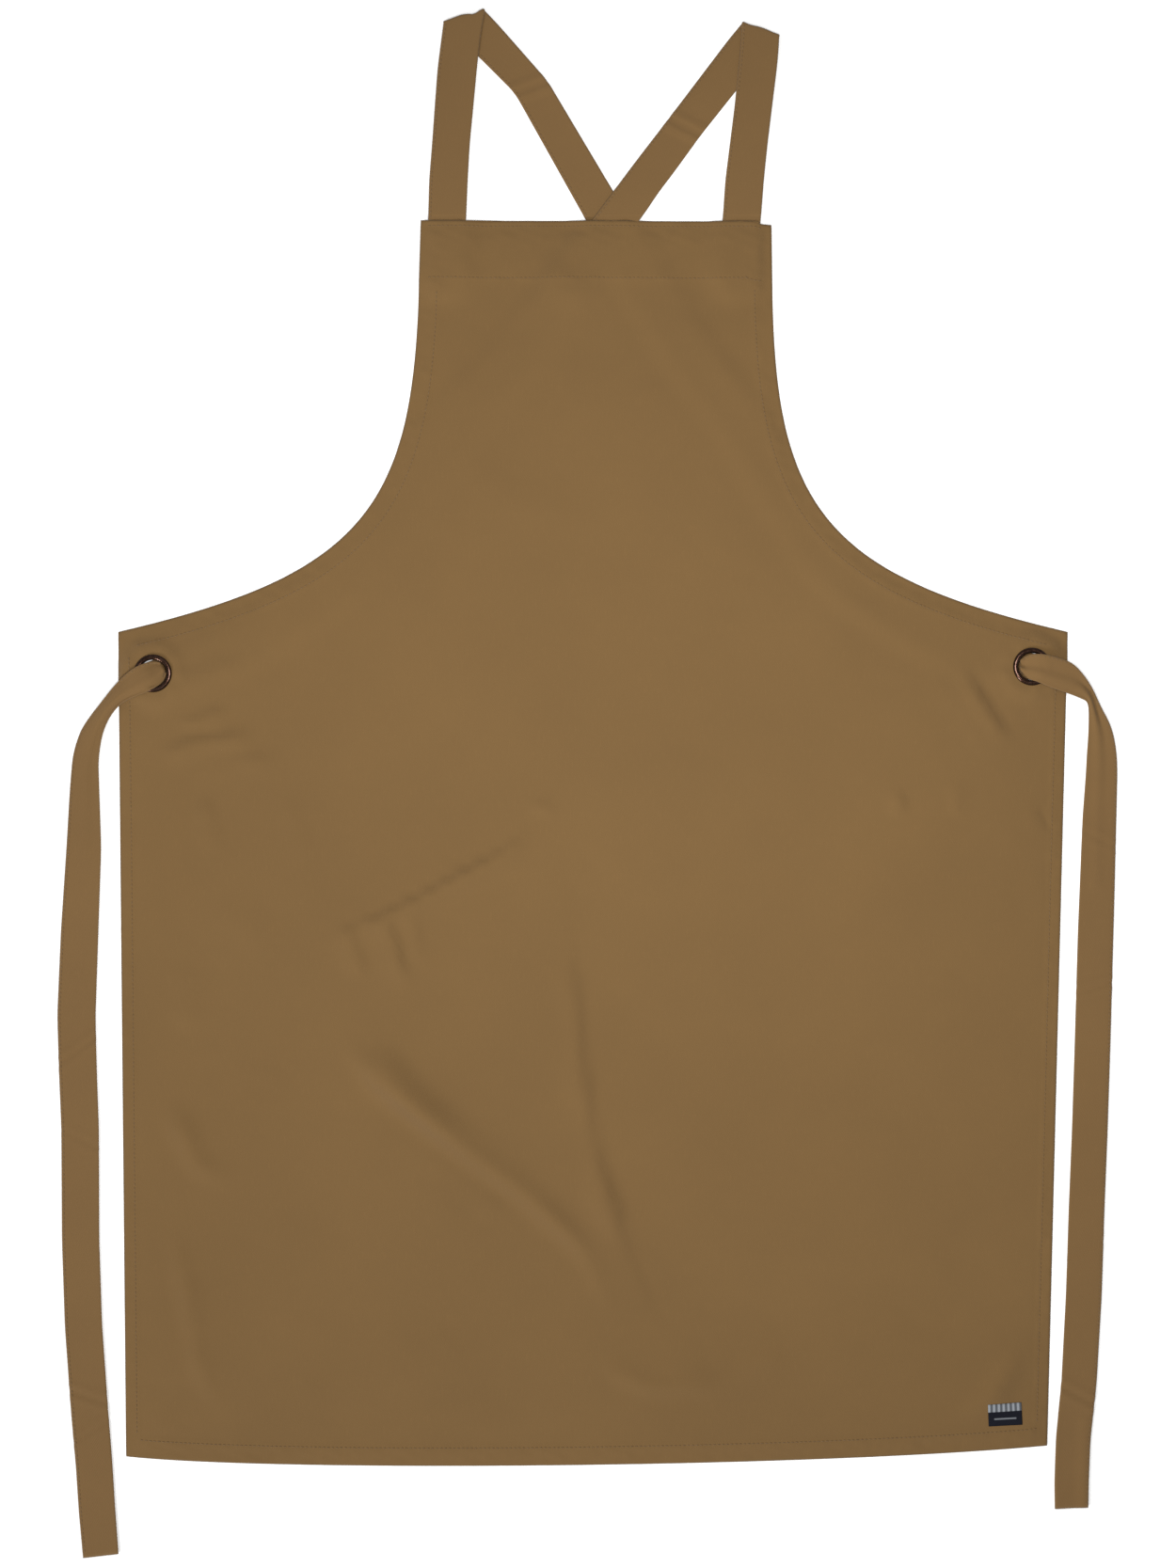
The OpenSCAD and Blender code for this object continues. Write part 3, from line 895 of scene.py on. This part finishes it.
# Sharp little creases that the lattice is too coarse for.
FINE_CREASES = [
    ([(274, 97), (296, 64), (318, 30)], -0.5, 3.5, 3.5),
    ([(-207, -116), (-168, -100), (-134, -85), (-95, -64), (-61, -45), (-26, -20)], -0.8, 2.2, 2.8),
    ([(-9, -276), (21, -320), (48, -376), (68, -420)], -0.4, 4, 4),
    ([(-318, 27), (-281, 38), (-243, 41)], -0.6, 3, 3.5),
    ([(-303, 48), (-284, 54), (-264, 57)], -0.5, 3, 3),
    ([(-146, -90), (-138, -117), (-128, -150)], -0.7, 3, 3),
    ([(-173, -100), (-167, -122), (-160, -144)], -0.4, 3, 3),
    ([(-129, -92), (-122, -112), (-117, -134)], -0.3, 3, 3),
    ([(-32, -12), (-25, -22)], -0.6, 3.5, 3.5),
    ([(331, -12), (344, -40)], -0.5, 3, 3),
    ([(-282, -10), (-280, -50)], -0.35, 3, 3),
    ([(233, -2), (233, -22)], -0.35, 3, 3),
    ([(278, -3), (277, -24)], -0.35, 3, 3),
    ([(-8, -98), (-4, -150), (2, -205)], -0.3, 4, 4),
]
HEM_RAISE = 0.4
GROOVE_D = 0.11
GROOVE_W = 0.9
HEM_FADE = 1.8
PUCKER = 0.10         # unevenness of a hem and along its stitching
PLEAT = 0.22          # little folds that the eyelet draws in the cloth round it


def hem_profile(points):
    """How far hems lift the cloth's face, how much of a hem lies under it, and the nearest edge."""
    layers, groove = np.zeros(len(points)), np.zeros(len(points))
    nearest = np.full(len(points), 1e9)
    x, y = points.T
    pucker = PUCKER * (ripple(x, y, 21, 9) + ripple(x, y, 22, 17))
    for key, path in gap_paths.items():
        gap, _ = to_path(points, path)
        nearest = np.minimum(nearest, gap)
        if key in HEM_OF:
            width, rows = HEM_OF[key]
            layers = np.maximum(layers, 1 - smoothstep(width - HEM_FADE, width + HEM_FADE, gap))
            for row in rows:
                groove = np.maximum(groove, np.exp(-((gap - row) / GROOVE_W) ** 2))
    lift = HEM_RAISE * layers - GROOVE_D * groove + pucker * np.maximum(layers * 0.6, groove * 0.5)
    return lift, layers, nearest


def panel_top(points):
    """Height of the panel's face, distance from its nearest edge, and its extra layers."""
    points = np.atleast_2d(np.array(points, float))
    lift, layers, nearest = hem_profile(points)
    z = sample(HEIGHT, points) + CLOTH_T / 2 + lift
    z += crease_height(points, FINE_CREASES) * smoothstep(1, 8, nearest)
    for at in EYELETS.values():
        gap = row_lengths(points - at)
        angle = np.arctan2(points[:, 1] - at[1], points[:, 0] - at[0])
        pull = PLEAT * np.sin(angle * 9 + gap * 0.1) * np.exp(-((gap - 20) / 7) ** 2)
        seat = 1 - smoothstep(RIM_R + 1, RIM_R + 12, gap)
        z = z * (1 - seat) + (PANEL_TOP - 0.05) * seat + pull
    return z, nearest, layers


# ---- panel mesh
def circle(at, r, count):
    """Points evenly round a circle."""
    a = np.arange(count) * math.tau / count
    return np.stack([at[0] + r * np.cos(a), at[1] + r * np.sin(a)], 1)


def row_at(y, x):
    """Points in a level row."""
    return np.stack([x, np.full(len(x), y)], 1)


def offset_rings():
    """Rows of points inside the outline, closer together near the edge."""
    ahead = unit_rows(np.roll(outline, -1, 0) - np.roll(outline, 1, 0))
    inward = np.stack([ahead[:, 1], -ahead[:, 0]], 1)
    rows = []
    for d in (0.5, 1.3, 2.4, 4.0, 5.6, 7.2, 8.0, 8.8, 10.4, 11.6, 13.0, 14.2, 15.8, RING_DEEPEST):
        row = outline + inward * d
        rows.append(row[(edge_distance(row) > d - 0.08) & inside(row, outline)])
    return np.concatenate(rows)


def bib_rows():
    """Extra rows of points along the bib hem's seam."""
    rows = []
    for d in (39, 40.6, 41.4, 42, 42.6, 43.6, 45):
        y = BIB_TOP - d
        rows.append(row_at(y, np.arange(lay_x(y) - BIB_HALF + 20, lay_x(y) + BIB_HALF - 20, 3.0)))
    return np.concatenate(rows)


def eyelet_rings():
    radii = (12.2, 13.6, 15, 17, 19.5, 22.5, 26)
    return np.concatenate([circle(at, r, int(math.tau * r / 2.4)) for at in EYELETS.values() for r in radii])


FIELD_STEP = 4.6
RING_DEEPEST = 18.5
BIB_SEAM = 42         # the bib hem's seam, from the top edge
EYELET_CLEAR = 28     # nearer an eyelet than this, only its own rings of points are used


def field_points():
    """A staggered grid over the open cloth, clear of the rings and of the bib's seam."""
    rows = []
    for i, y in enumerate(np.arange(PANEL_LOW[1], PANEL_HIGH[1], FIELD_STEP * 0.866)):
        rows.append(row_at(y, np.arange(PANEL_LOW[0], PANEL_HIGH[0], FIELD_STEP) + (i % 2) * FIELD_STEP / 2))
    field = np.concatenate(rows)
    field = field[inside(field, outline)]
    field = field[edge_distance(field) > RING_DEEPEST + 2.5]
    return field[(np.abs(field[:, 1] - (BIB_TOP - BIB_SEAM)) > 6) | (field[:, 1] < SKIRT_Y)]


def panel_points():
    """All points of the flat panel: its outline and hole rims, then those inside."""
    rims = [outline] + [circle(at, HOLE_R, 60) for at in EYELETS.values()]
    edge_rings, around = offset_rings(), eyelet_rings()
    extra = []
    for group in (edge_rings, field_points(), bib_rows()):
        for at in EYELETS.values():
            group = group[row_lengths(group - at) > EYELET_CLEAR]
        extra.append(group)
    extra.append(around[(edge_distance(around) > 1.5) & inside(around, outline)])
    for at in EYELETS.values():
        r = row_lengths(edge_rings - at)
        extra.append(edge_rings[(r <= EYELET_CLEAR) & (r > EYELET_CLEAR - 1.5)])
    return rims, np.concatenate(extra)


def doubled_areas(flat, tris):
    """Twice each triangle's area, below zero where it faces down."""
    return np.cross(flat[tris[:, 1]] - flat[tris[:, 0]], flat[tris[:, 2]] - flat[tris[:, 0]])


def flat_mesh():
    """The panel cut out flat, as points and triangles that all face up."""
    rims, extra = panel_points()
    links, start = [], 0
    for rim in rims:
        links += [(start + i, start + (i + 1) % len(rim)) for i in range(len(rim))]
        start += len(rim)
    points = [Vector(p) for p in np.concatenate(rims + [extra])]
    flat, _, tris, *_ = delaunay_2d_cdt(points, links, [], 0, 1e-4)
    flat, tris = np.array([tuple(p) for p in flat]), np.array([list(t) for t in tris])
    middle = flat[tris].mean(1)
    good = inside(middle, outline)
    for at in EYELETS.values():
        good &= row_lengths(middle - at) > HOLE_R - 0.05
    used, tris = np.unique(tris[good], return_inverse=True)
    flat, tris = flat[used], tris.reshape(-1, 3)
    face_down = doubled_areas(flat, tris) < 0
    tris[face_down] = tris[face_down][:, ::-1]
    return flat, tris


def open_edges(flat, tris):
    """Edges that only one triangle has, their points, their places among them, and the ways out."""
    sides = tris[:, [0, 1, 1, 2, 2, 0]].reshape(-1, 2)
    _, which, counts = np.unique(np.sort(sides, axis=1), axis=0, return_inverse=True, return_counts=True)
    sides = sides[counts[which.ravel()] == 1]
    rim, place = np.unique(sides, return_inverse=True)
    place = place.reshape(-1, 2)
    along = unit_rows(flat[sides[:, 1]] - flat[sides[:, 0]])
    out = np.zeros((len(rim), 2))
    for end in (0, 1):
        np.add.at(out, place[:, end], np.column_stack([along[:, 1], -along[:, 0]]))
    return sides, rim, place, unit_rows(out)


EDGE_ROLL = 0.42      # how far the face drops at a turned edge
EDGE_BELLY = 0.3      # how far the edge bulges out
HEM_THICK = 0.8       # what a hem adds to the cloth's thickness


def build_panel():
    flat, tris = flat_mesh()
    z, nearest, layers = panel_top(flat)
    roll = EDGE_ROLL * (1 - smoothstep(0, 1.4, nearest)) ** 2
    top = z - roll
    bottom = np.maximum(z - (CLOTH_T + HEM_THICK * layers) + roll * 0.6, 0.02)
    sides, rim, place, out = open_edges(flat, tris)
    belly = np.column_stack([flat[rim] + out * EDGE_BELLY, (top[rim] + bottom[rim]) / 2])
    verts = np.concatenate([np.column_stack([flat, top]), np.column_stack([flat, bottom]), belly])
    n = len(flat)
    faces = tris.tolist() + (tris[:, ::-1] + n).tolist()
    for (a, b), (i, j) in zip(sides.tolist(), (place + 2 * n).tolist()):
        faces += [(a, i, j, b), (i, a + n, b + n, j)]
    gap = np.concatenate([nearest, nearest, np.zeros(len(rim))])
    piece = make_object("apron_cloth", verts, faces, panel_twill, verts, gap)
    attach(piece, "apron")
    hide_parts("apron_panel", "bib_top_hem", "left_armhole_facing", "right_armhole_facing",
                "left_side_hem", "right_side_hem", "bottom_hem")
    return piece, doubled_areas(flat, tris).sum() / 2


panel, panel_area = build_panel()


# ---- ties
def obstacle(points):
    """Top of whatever a tie passes over: an eyelet's rim, the panel or the bare surface."""
    gap = edge_distance(points)
    signed = np.where(inside(points, outline), gap, -gap)
    ground = panel_top(points)[0] * smoothstep(-2.6, -0.3, signed)
    for at in EYELETS.values():
        r = row_lengths(points - at)
        dome = np.sqrt(np.clip(1 - ((r - BORE_R - DOME_R) / (DOME_R + 0.7)) ** 2, 0, 1))
        outer = PANEL_TOP + (RIM_TOP - PANEL_TOP) * dome
        lip = RIM_TOP * smoothstep(BORE_R - 2.2, BORE_R + 1.2, r)
        ground = np.where(r < RIM_R + 1, np.where(r < BORE_R + DOME_R, lip, outer), ground)
    return ground


def pleats(rungs, seed):
    """The folds that take up a strap's width where it is narrower than it was sewn."""
    short = np.clip(1 - row_lengths(rungs[:, 1] - rungs[:, 0]) / STRAP_W, 0, 0.7)[:, None]
    u = COLUMNS[None, :] * math.tau
    phase = np.random.default_rng(seed).uniform(0, 1.5)
    rows = np.arange(len(rungs))[:, None]
    wave = np.cos(1.35 * u + phase + rows * 0.02) + 0.4 * np.cos(2.6 * u + 1.3 + rows * 0.03)
    return 1.5 * np.sqrt(short) * short ** 0.25 * (wave + 0.7) * (short > 0.08)


LAY_APART = 900       # how far along the weave a tie starts, so that no two bands look alike


def tie(side, rungs, creases, seed):
    """A waist tie, from the eyelet's hole over its rim and down beside the apron."""
    rungs = soften(fill_rungs(rungs, 2.6), 5, ())
    lift, run = strap_lift(rungs, seed, 0.9)
    lift = lift * smoothstep(60, 140, run)[:, None] + pleats(rungs, seed)
    for crease in creases:
        lift += crease_lift(rungs, *crease)
    grid = band_surface(rungs, lift)
    floor = obstacle(grid[:, :, :2].reshape(-1, 2)) + STRAP_T / 2 + 0.12
    grid[:, :, 2] = smooth_max(grid[:, :, 2], floor.reshape(grid.shape[:2]), 0.5)
    piece = band(side + "_tie_band", grid, strap_twill, along0=LAY_APART * (1 + seed % 2))
    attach(piece, side + "_tie")
    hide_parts(side + "_tie")
    return piece, grid, float(run[-1]) * MM


def lower_rungs(route):
    """Rungs for (x, y, width) points along the surface."""
    return rungs_along([(x, y, FLOOR_Z + 0.1) for x, y, _ in route], [w for _, _, w in route])


TIE_Z = RIM_TOP + 0.9
left_tie_rungs = rungs_along(
    [(-313.2, 85.6, 2.3), (-315.6, 84.2, 2.8), (-318.2, 82.6, 3.6), (-320.5, 81.0, 4.6),
     (-323.4, 79.6, 6.2), (-327.5, 77.6, TIE_Z), (-332, 75, TIE_Z), (-338, 71.5, TIE_Z - 1),
     (-345, 66.3, 6.2), (-351, 60.3, 5.6), (-356.5, 53.3, 4.6), (-361.5, 46, 3.4),
     (-366.2, 37.1, 2.2), (-369.4, 25, 1.3), (-370.7, 16.3, 1.0)],
    [9, 15.5, 18.2, 19.2, 19.8, 20.4, 20.2, 17, 13.4, 11.2, 11.4, 13.4, 16.4, 18.6, 19.6]
) + lower_rungs(
    [(-371.3, -4.5, 21.8), (-371.8, -46, 25.6), (-374.9, -108.5, 27.6), (-377.3, -170.8, 28.2),
     (-376.2, -212, 28), (-374.6, -254, 27.8), (-374.2, -337, 27.5), (-372.1, -399.5, 27.5),
     (-367.6, -462, 27.4), (-364.2, -503, 27), (-362.2, -535, 27)]
) + [rung((-346.2, -567.9), (-372.5, -571.0), FLOOR_Z + 0.1)]
right_tie_rungs = rungs_from(
    (318.3, 91.0, 318.3, 82.6, 2.3), (320.8, 93.8, 320.6, 79.2, 2.8), (323.6, 95.4, 323.2, 77.4, 3.8),
    (326.8, 95.8, 326, 76.6, 5.2), (330.6, 96.0, 329, 75.8, 6.6), (336.1, 95.6, 333, 74.2, TIE_Z),
    (343.5, 93.6, 341, 70.6, TIE_Z - 0.6), (351, 91.4, 350.6, 67.6, 6.0), (357.2, 88.8, 359, 64.6, 5.6),
    (363.4, 82.4, 364.6, 62.2, 5.2), (368.4, 75.4, 367.0, 61.2, 4.8), (372.0, 69.0, 368.4, 59.0, 4.2),
    (377.7, 56.4, 368.9, 51.4, 3.2), (383.7, 46.8, 368.9, 43.0, 2.4), (387.4, 36.4, 368.7, 34.6, 1.8),
    (389.8, 22.9, 367.8, 22.4, 1.2), (390.4, 9.4, 367.2, 9.4, 0.9)
) + lower_rungs(
    [(377.2, -25.3, 25), (374.4, -108.5, 26.2), (372.1, -191.6, 26.4), (370.1, -254, 26.4),
     (367.6, -316.3, 26.4), (365.6, -378.7, 26.4), (362.1, -441, 26), (357.8, -482.7, 25.6),
     (356.6, -515, 25.4)]
) + [rung((369.0, -533.6), (344.2, -534.6), FLOOR_Z + 0.1)]


# Press creases: place, depth, width and slant
LEFT_TIE_CREASES = [((-376.4, -196), 1.0, 2.6, 0.7), ((-374.6, -262), 0.5, 2.4, -0.5),
                    ((-370, -452), 0.9, 2.6, -0.4), ((-365, -478), 0.7, 2.4, 0.5)]
RIGHT_TIE_CREASES = [((373, -150), 1.0, 2.4, -0.3), ((378, -40), 0.5, 2.4, 0.4),
                     ((361, -452), 0.9, 2.6, 0.4), ((366.6, -345), 0.5, 2.4, -0.5)]


def aligned(rungs):
    """Keeps the two ends of each rung on their own sides all the way along."""
    out = [np.array(rungs[0], float)]
    for r in np.array(rungs[1:], float):
        same = np.dot(r[1] - r[0], out[-1][1] - out[-1][0]) > 0
        out.append(r if same else r[::-1])
    return out


left_tie, left_tie_grid, left_tie_len = tie("left", aligned(left_tie_rungs), LEFT_TIE_CREASES, 31)
right_tie, right_tie_grid, right_tie_len = tie("right", aligned(right_tie_rungs), RIGHT_TIE_CREASES, 34)


# ---- eyelets
RING_STEPS = 96


def eyelet_ring(side):
    """A rolled eyelet: a domed flange, a lip turned into the hole and a barrel."""
    low, high = box_mm(side + "_eyelet")
    profile = [(BORE_R, low[2]), (BORE_R, PANEL_TOP - 0.6)]
    for a in np.radians(np.arange(180, -1, -12)):
        profile.append((BORE_R + DOME_R + DOME_R * math.cos(a),
                        PANEL_TOP + (high[2] - PANEL_TOP) * math.sin(a) ** 0.85))
    profile += [(RIM_R - 0.35, PANEL_TOP - 0.05), (BORE_R + 0.8, PANEL_TOP - 0.05), (BORE_R + 0.8, low[2])]
    m = len(profile)
    radii, heights = np.array(profile).T
    verts, faces = [], []
    for i, ahead in enumerate(circle((0, 0), 1, RING_STEPS)):
        verts.append(np.column_stack([EYELETS[side] + radii[:, None] * ahead, heights]))
        k = (i + 1) % RING_STEPS
        for j in range(m):
            up = (j + 1) % m
            faces.append((i * m + j, k * m + j, k * m + up, i * m + up))
    piece = make_object(side + "_eyelet_ring", np.concatenate(verts), faces, bronze)
    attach(piece, "apron")
    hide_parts(side + "_eyelet")


for side in ("left", "right"):
    eyelet_ring(side)
    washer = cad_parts[side + "_eyelet_washer"]
    for slot in washer.material_slots:
        slot.material = bronze


# ---- stitching
STITCH = 3.2
STITCH_LEN = 2.5
THREAD_R = 0.27
STATIONS = np.array([0.0, 0.14, 0.5, 0.86, 1.0])
BEAD = np.array([0.45, 0.9, 1.0, 0.9, 0.45]) * THREAD_R
BEAD_RISE = np.array([-0.22, 0.02, 0.12, 0.02, -0.22]) + 0.06
BEAD_SIDES = 6
LEAST_Z = 0.02        # thread is pressed flat where it meets the surface


def beads(name, starts, ends, ups, body_call):
    """One bead of thread from each start to its end, raised along its own up direction."""
    side = unit_rows(np.cross(ups, unit_rows(ends - starts)))
    around = np.arange(BEAD_SIDES) * math.tau / BEAD_SIDES
    centre = starts[:, None] + (ends - starts)[:, None] * STATIONS[None, :, None]
    centre = centre + ups[:, None] * BEAD_RISE[None, :, None]
    ring = (side[:, None, None] * np.cos(around)[None, None, :, None]
            + ups[:, None, None] * np.sin(around)[None, None, :, None]) * BEAD[None, :, None, None]
    verts = (centre[:, :, None] + ring).reshape(-1, 3)
    verts[:, 2] = np.maximum(verts[:, 2], LEAST_Z)
    size = len(STATIONS) * BEAD_SIDES
    one = []
    for i in range(0, size - BEAD_SIDES, BEAD_SIDES):
        for j in range(BEAD_SIDES):
            k = (j + 1) % BEAD_SIDES
            one.append((i + j, i + k, i + BEAD_SIDES + k, i + BEAD_SIDES + j))
    caps = [tuple(range(BEAD_SIDES - 1, -1, -1)), tuple(range(size - BEAD_SIDES, size))]
    faces = [tuple(v + size * b for v in f) for b in range(len(starts)) for f in one + caps]
    piece = make_object(name, verts, faces, thread, verts)
    body_call(piece)
    return piece


def stitch_ends(rows, run):
    """The rows of a path, sampled where each stitch along it starts and where it ends."""
    at = np.arange(2, run[-1] - 2 - STITCH_LEN, STITCH)
    return at_run(at, run, rows), at_run(at + STITCH_LEN, run, rows)


def seam_row(key, d, head, tail):
    """A row a distance d inside one of the panel's edges, less some of its head and tail."""
    path = resample(EDGES[key], 5)
    ahead = unit_rows(np.gradient(path, axis=0))
    line = resample(path + np.stack([ahead[:, 1], -ahead[:, 0]], 1) * d, 1.5)
    run = run_along(line)
    return line[(run >= head) & (run <= run[-1] - tail)]


def stitching(name, paths, node):
    """Rows of stitches on the panel."""
    both = [stitch_ends(path, run_along(path)) for path in paths]
    starts, ends = (np.concatenate([np.column_stack([at, panel_top(at)[0]]) for at in side])
                    for side in zip(*both))
    ups = np.tile([0.0, 0.0, 1.0], (len(starts), 1))
    piece = beads(name, starts, ends, ups, lambda p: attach(p, "apron"))
    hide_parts(node)
    return piece


STRAP_SEAM = 3        # the column of a band that its edge stitching follows


def strap_stitching(name, grid, body_call):
    """The row of stitches that closes a folded strap, along one edge of both its faces."""
    normal = facing_alike(grid_cross(grid)[:, STRAP_SEAM])
    line = grid[:, STRAP_SEAM]
    half = STRAP_T / 2 * EDGE_ROUND[STRAP_SEAM]
    starts, ends = [], []
    for face in (1, -1):
        rows = np.column_stack([line + normal * half * face, normal * face])
        a, b = stitch_ends(rows, run_along(line))
        starts.append(a)
        ends.append(b)
    starts, ends = np.concatenate(starts), np.concatenate(ends)
    ups = unit_rows(starts[:, 3:] + ends[:, 3:])
    return beads(name, starts[:, :3], ends[:, :3], ups, body_call)


bib_thread = stitching(
    "bib_seam_stitches", [seam_row("top", d, 2, 2) for d in (EDGE_ROW, BIB_HEM - SEAM_IN)],
    "bib_stitching")
armhole_thread = stitching(
    "armhole_seam_stitches",
    [seam_row("right_armhole", FACING_W - SEAM_IN, 3, 8), seam_row("left_armhole", FACING_W - SEAM_IN, 8, 3)],
    "armhole_stitching")
side_thread = stitching(
    "side_seam_stitches",
    [seam_row("right_side", SIDE_HEM_W - SEAM_IN, FACING_W, BOTTOM_HEM_D),
     seam_row("left_side", SIDE_HEM_W - SEAM_IN, BOTTOM_HEM_D, FACING_W)],
    "side_hem_stitching")
bottom_thread = stitching(
    "bottom_seam_stitches", [seam_row("bottom", BOTTOM_HEM_D - SEAM_IN, 4, 4)], "bottom_hem_stitching")


left_strap_thread = strap_stitching("left_strap_stitches", left_grid, across_bib)
right_strap_thread = strap_stitching("right_strap_stitches", right_grid, across_bib)
left_tie_thread = strap_stitching("left_tie_stitches", left_tie_grid, lambda p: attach(p, "left_tie"))
right_tie_thread = strap_stitching("right_tie_stitches", right_tie_grid, lambda p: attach(p, "right_tie"))


# ---- label
LABEL_W = 25
LABEL_H = 16.4
LABEL_T = 0.5
LABEL_TURN = math.radians(3)
LABEL_ROWS = 18
NAVY = (0.0015, 0.002, 0.007)
PALE = (0.30, 0.32, 0.345)


def label_material():
    """Woven label: a navy block under a pale band of plain ticks, with a thin plain line."""
    s = Shade("woven_label")
    place = s.attribute("lay", "Vector")
    across, up = s.split(place)["X"], s.split(place)["Y"]
    weft = s.stripes(place, 0, 0.00045)
    warp = s.stripes(place, 90, 0.0006)
    ticks = s.span(s.stripes(place, 90, 0.0036), 0.25, 0.8, 0.3, 1)
    in_band = s.span(up, 0.0022, 0.0026, 0, 1)
    tone = s.mix(s.math("MULTIPLY", in_band, ticks), NAVY, PALE)
    on_line = s.span(s.math("ABSOLUTE", s.math("ADD", up, 0.0030)), 0.00045, 0.0007, 0.55, 0)
    in_reach = s.span(s.math("ABSOLUTE", across), 0.0078, 0.0084, 1, 0)
    tone = s.mix(s.math("MULTIPLY", on_line, in_reach), tone, PALE)
    s.set(Base_Color=s.mix(s.span(weft, 0, 1, 0.25, 0), tone, (0.003, 0.004, 0.01)),
          Roughness=0.7, Specular_IOR_Level=0.2)
    height = s.math("ADD", weft, s.math("MULTIPLY", warp, 0.5))
    s.bump(s.math("ADD", height, s.noise(place, 2400, 2, 0.6)), 0.5, 0.00008)
    return s.material


def build_label():
    centre = (LABEL_LOW + LABEL_HIGH)[:2] / 2
    right = np.array([math.cos(LABEL_TURN), math.sin(LABEL_TURN)])
    up = np.array([-right[1], right[0]])
    rows = []
    for v in np.linspace(-0.5, 0.5, LABEL_ROWS):
        p = centre + up * LABEL_H * v
        rows.append(rung(p - right * LABEL_W / 2, p + right * LABEL_W / 2, 0))
    grid = band_surface(rows)
    top = panel_top(grid[:, :, :2].reshape(-1, 2))[0].reshape(grid.shape[:2])
    ends_down = 0.2 * np.abs(np.linspace(-1, 1, LABEL_ROWS)) ** 6
    grid[:, :, 2] = top + LABEL_T / 2 + 0.08 - ends_down[:, None]
    piece = band("label_patch", grid, label_material(), LABEL_T, along0=-LABEL_H / 2)
    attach(piece, "apron")
    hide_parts("woven_label")
    return piece


label = build_label()


# ---- floor, light and camera
def link(name, data):
    obj = bpy.data.objects.new(name, data)
    bpy.context.scene.collection.objects.link(obj)
    return obj


def build_floor():
    mesh = bpy.data.meshes.new("floor")
    s, z = 40.0, -0.0002
    mesh.from_pydata([(-s, -s, z), (s, -s, z), (s, s, z), (-s, s, z)], [], [(0, 1, 2, 3)])
    white = Shade("floor_white")
    white.set(Base_Color=(0.93, 0.93, 0.93), Roughness=0.9, Specular_IOR_Level=0.1,
              Emission_Color=(1, 1, 1), Emission_Strength=0.18)
    mesh.materials.append(white.material)
    link("floor", mesh)


def area_light(name, place, target, size, power):
    data = bpy.data.lights.new(name, "AREA")
    data.shape = "SQUARE"
    data.size = size
    data.energy = power
    lamp = link(name, data)
    lamp.location = place
    aim = Vector(target) - Vector(place)
    lamp.rotation_euler = aim.to_track_quat("-Z", "Y").to_euler()


def build_light():
    world = bpy.data.worlds.new("studio")
    world.use_nodes = True
    background = world.node_tree.nodes["Background"]
    background.inputs["Color"].default_value = (1, 1, 1, 1)
    background.inputs["Strength"].default_value = 0.38
    bpy.context.scene.world = world
    area_light("overhead", (0.06, 0.09, 0.95), (0.06, 0.09, 0), 0.36, 7.8)
    area_light("key", (-2.2, -2.8, 2.0), (0, 0, 0), 1.0, 108)


LENS = 85
SENSOR = 36
VIEW_W = 0.866       # width of the view at the surface, in metres


def build_camera():
    data = bpy.data.cameras.new("camera")
    data.lens = LENS
    data.sensor_width = SENSOR
    data.sensor_fit = "HORIZONTAL"
    camera = link("camera", data)
    camera.location = (0, 0, VIEW_W * LENS / SENSOR + PANEL_TOP * MM)
    bpy.context.scene.camera = camera


build_floor()
build_light()
build_camera()
bpy.context.scene.view_settings.view_transform = "Standard"
bpy.context.view_layer.update()
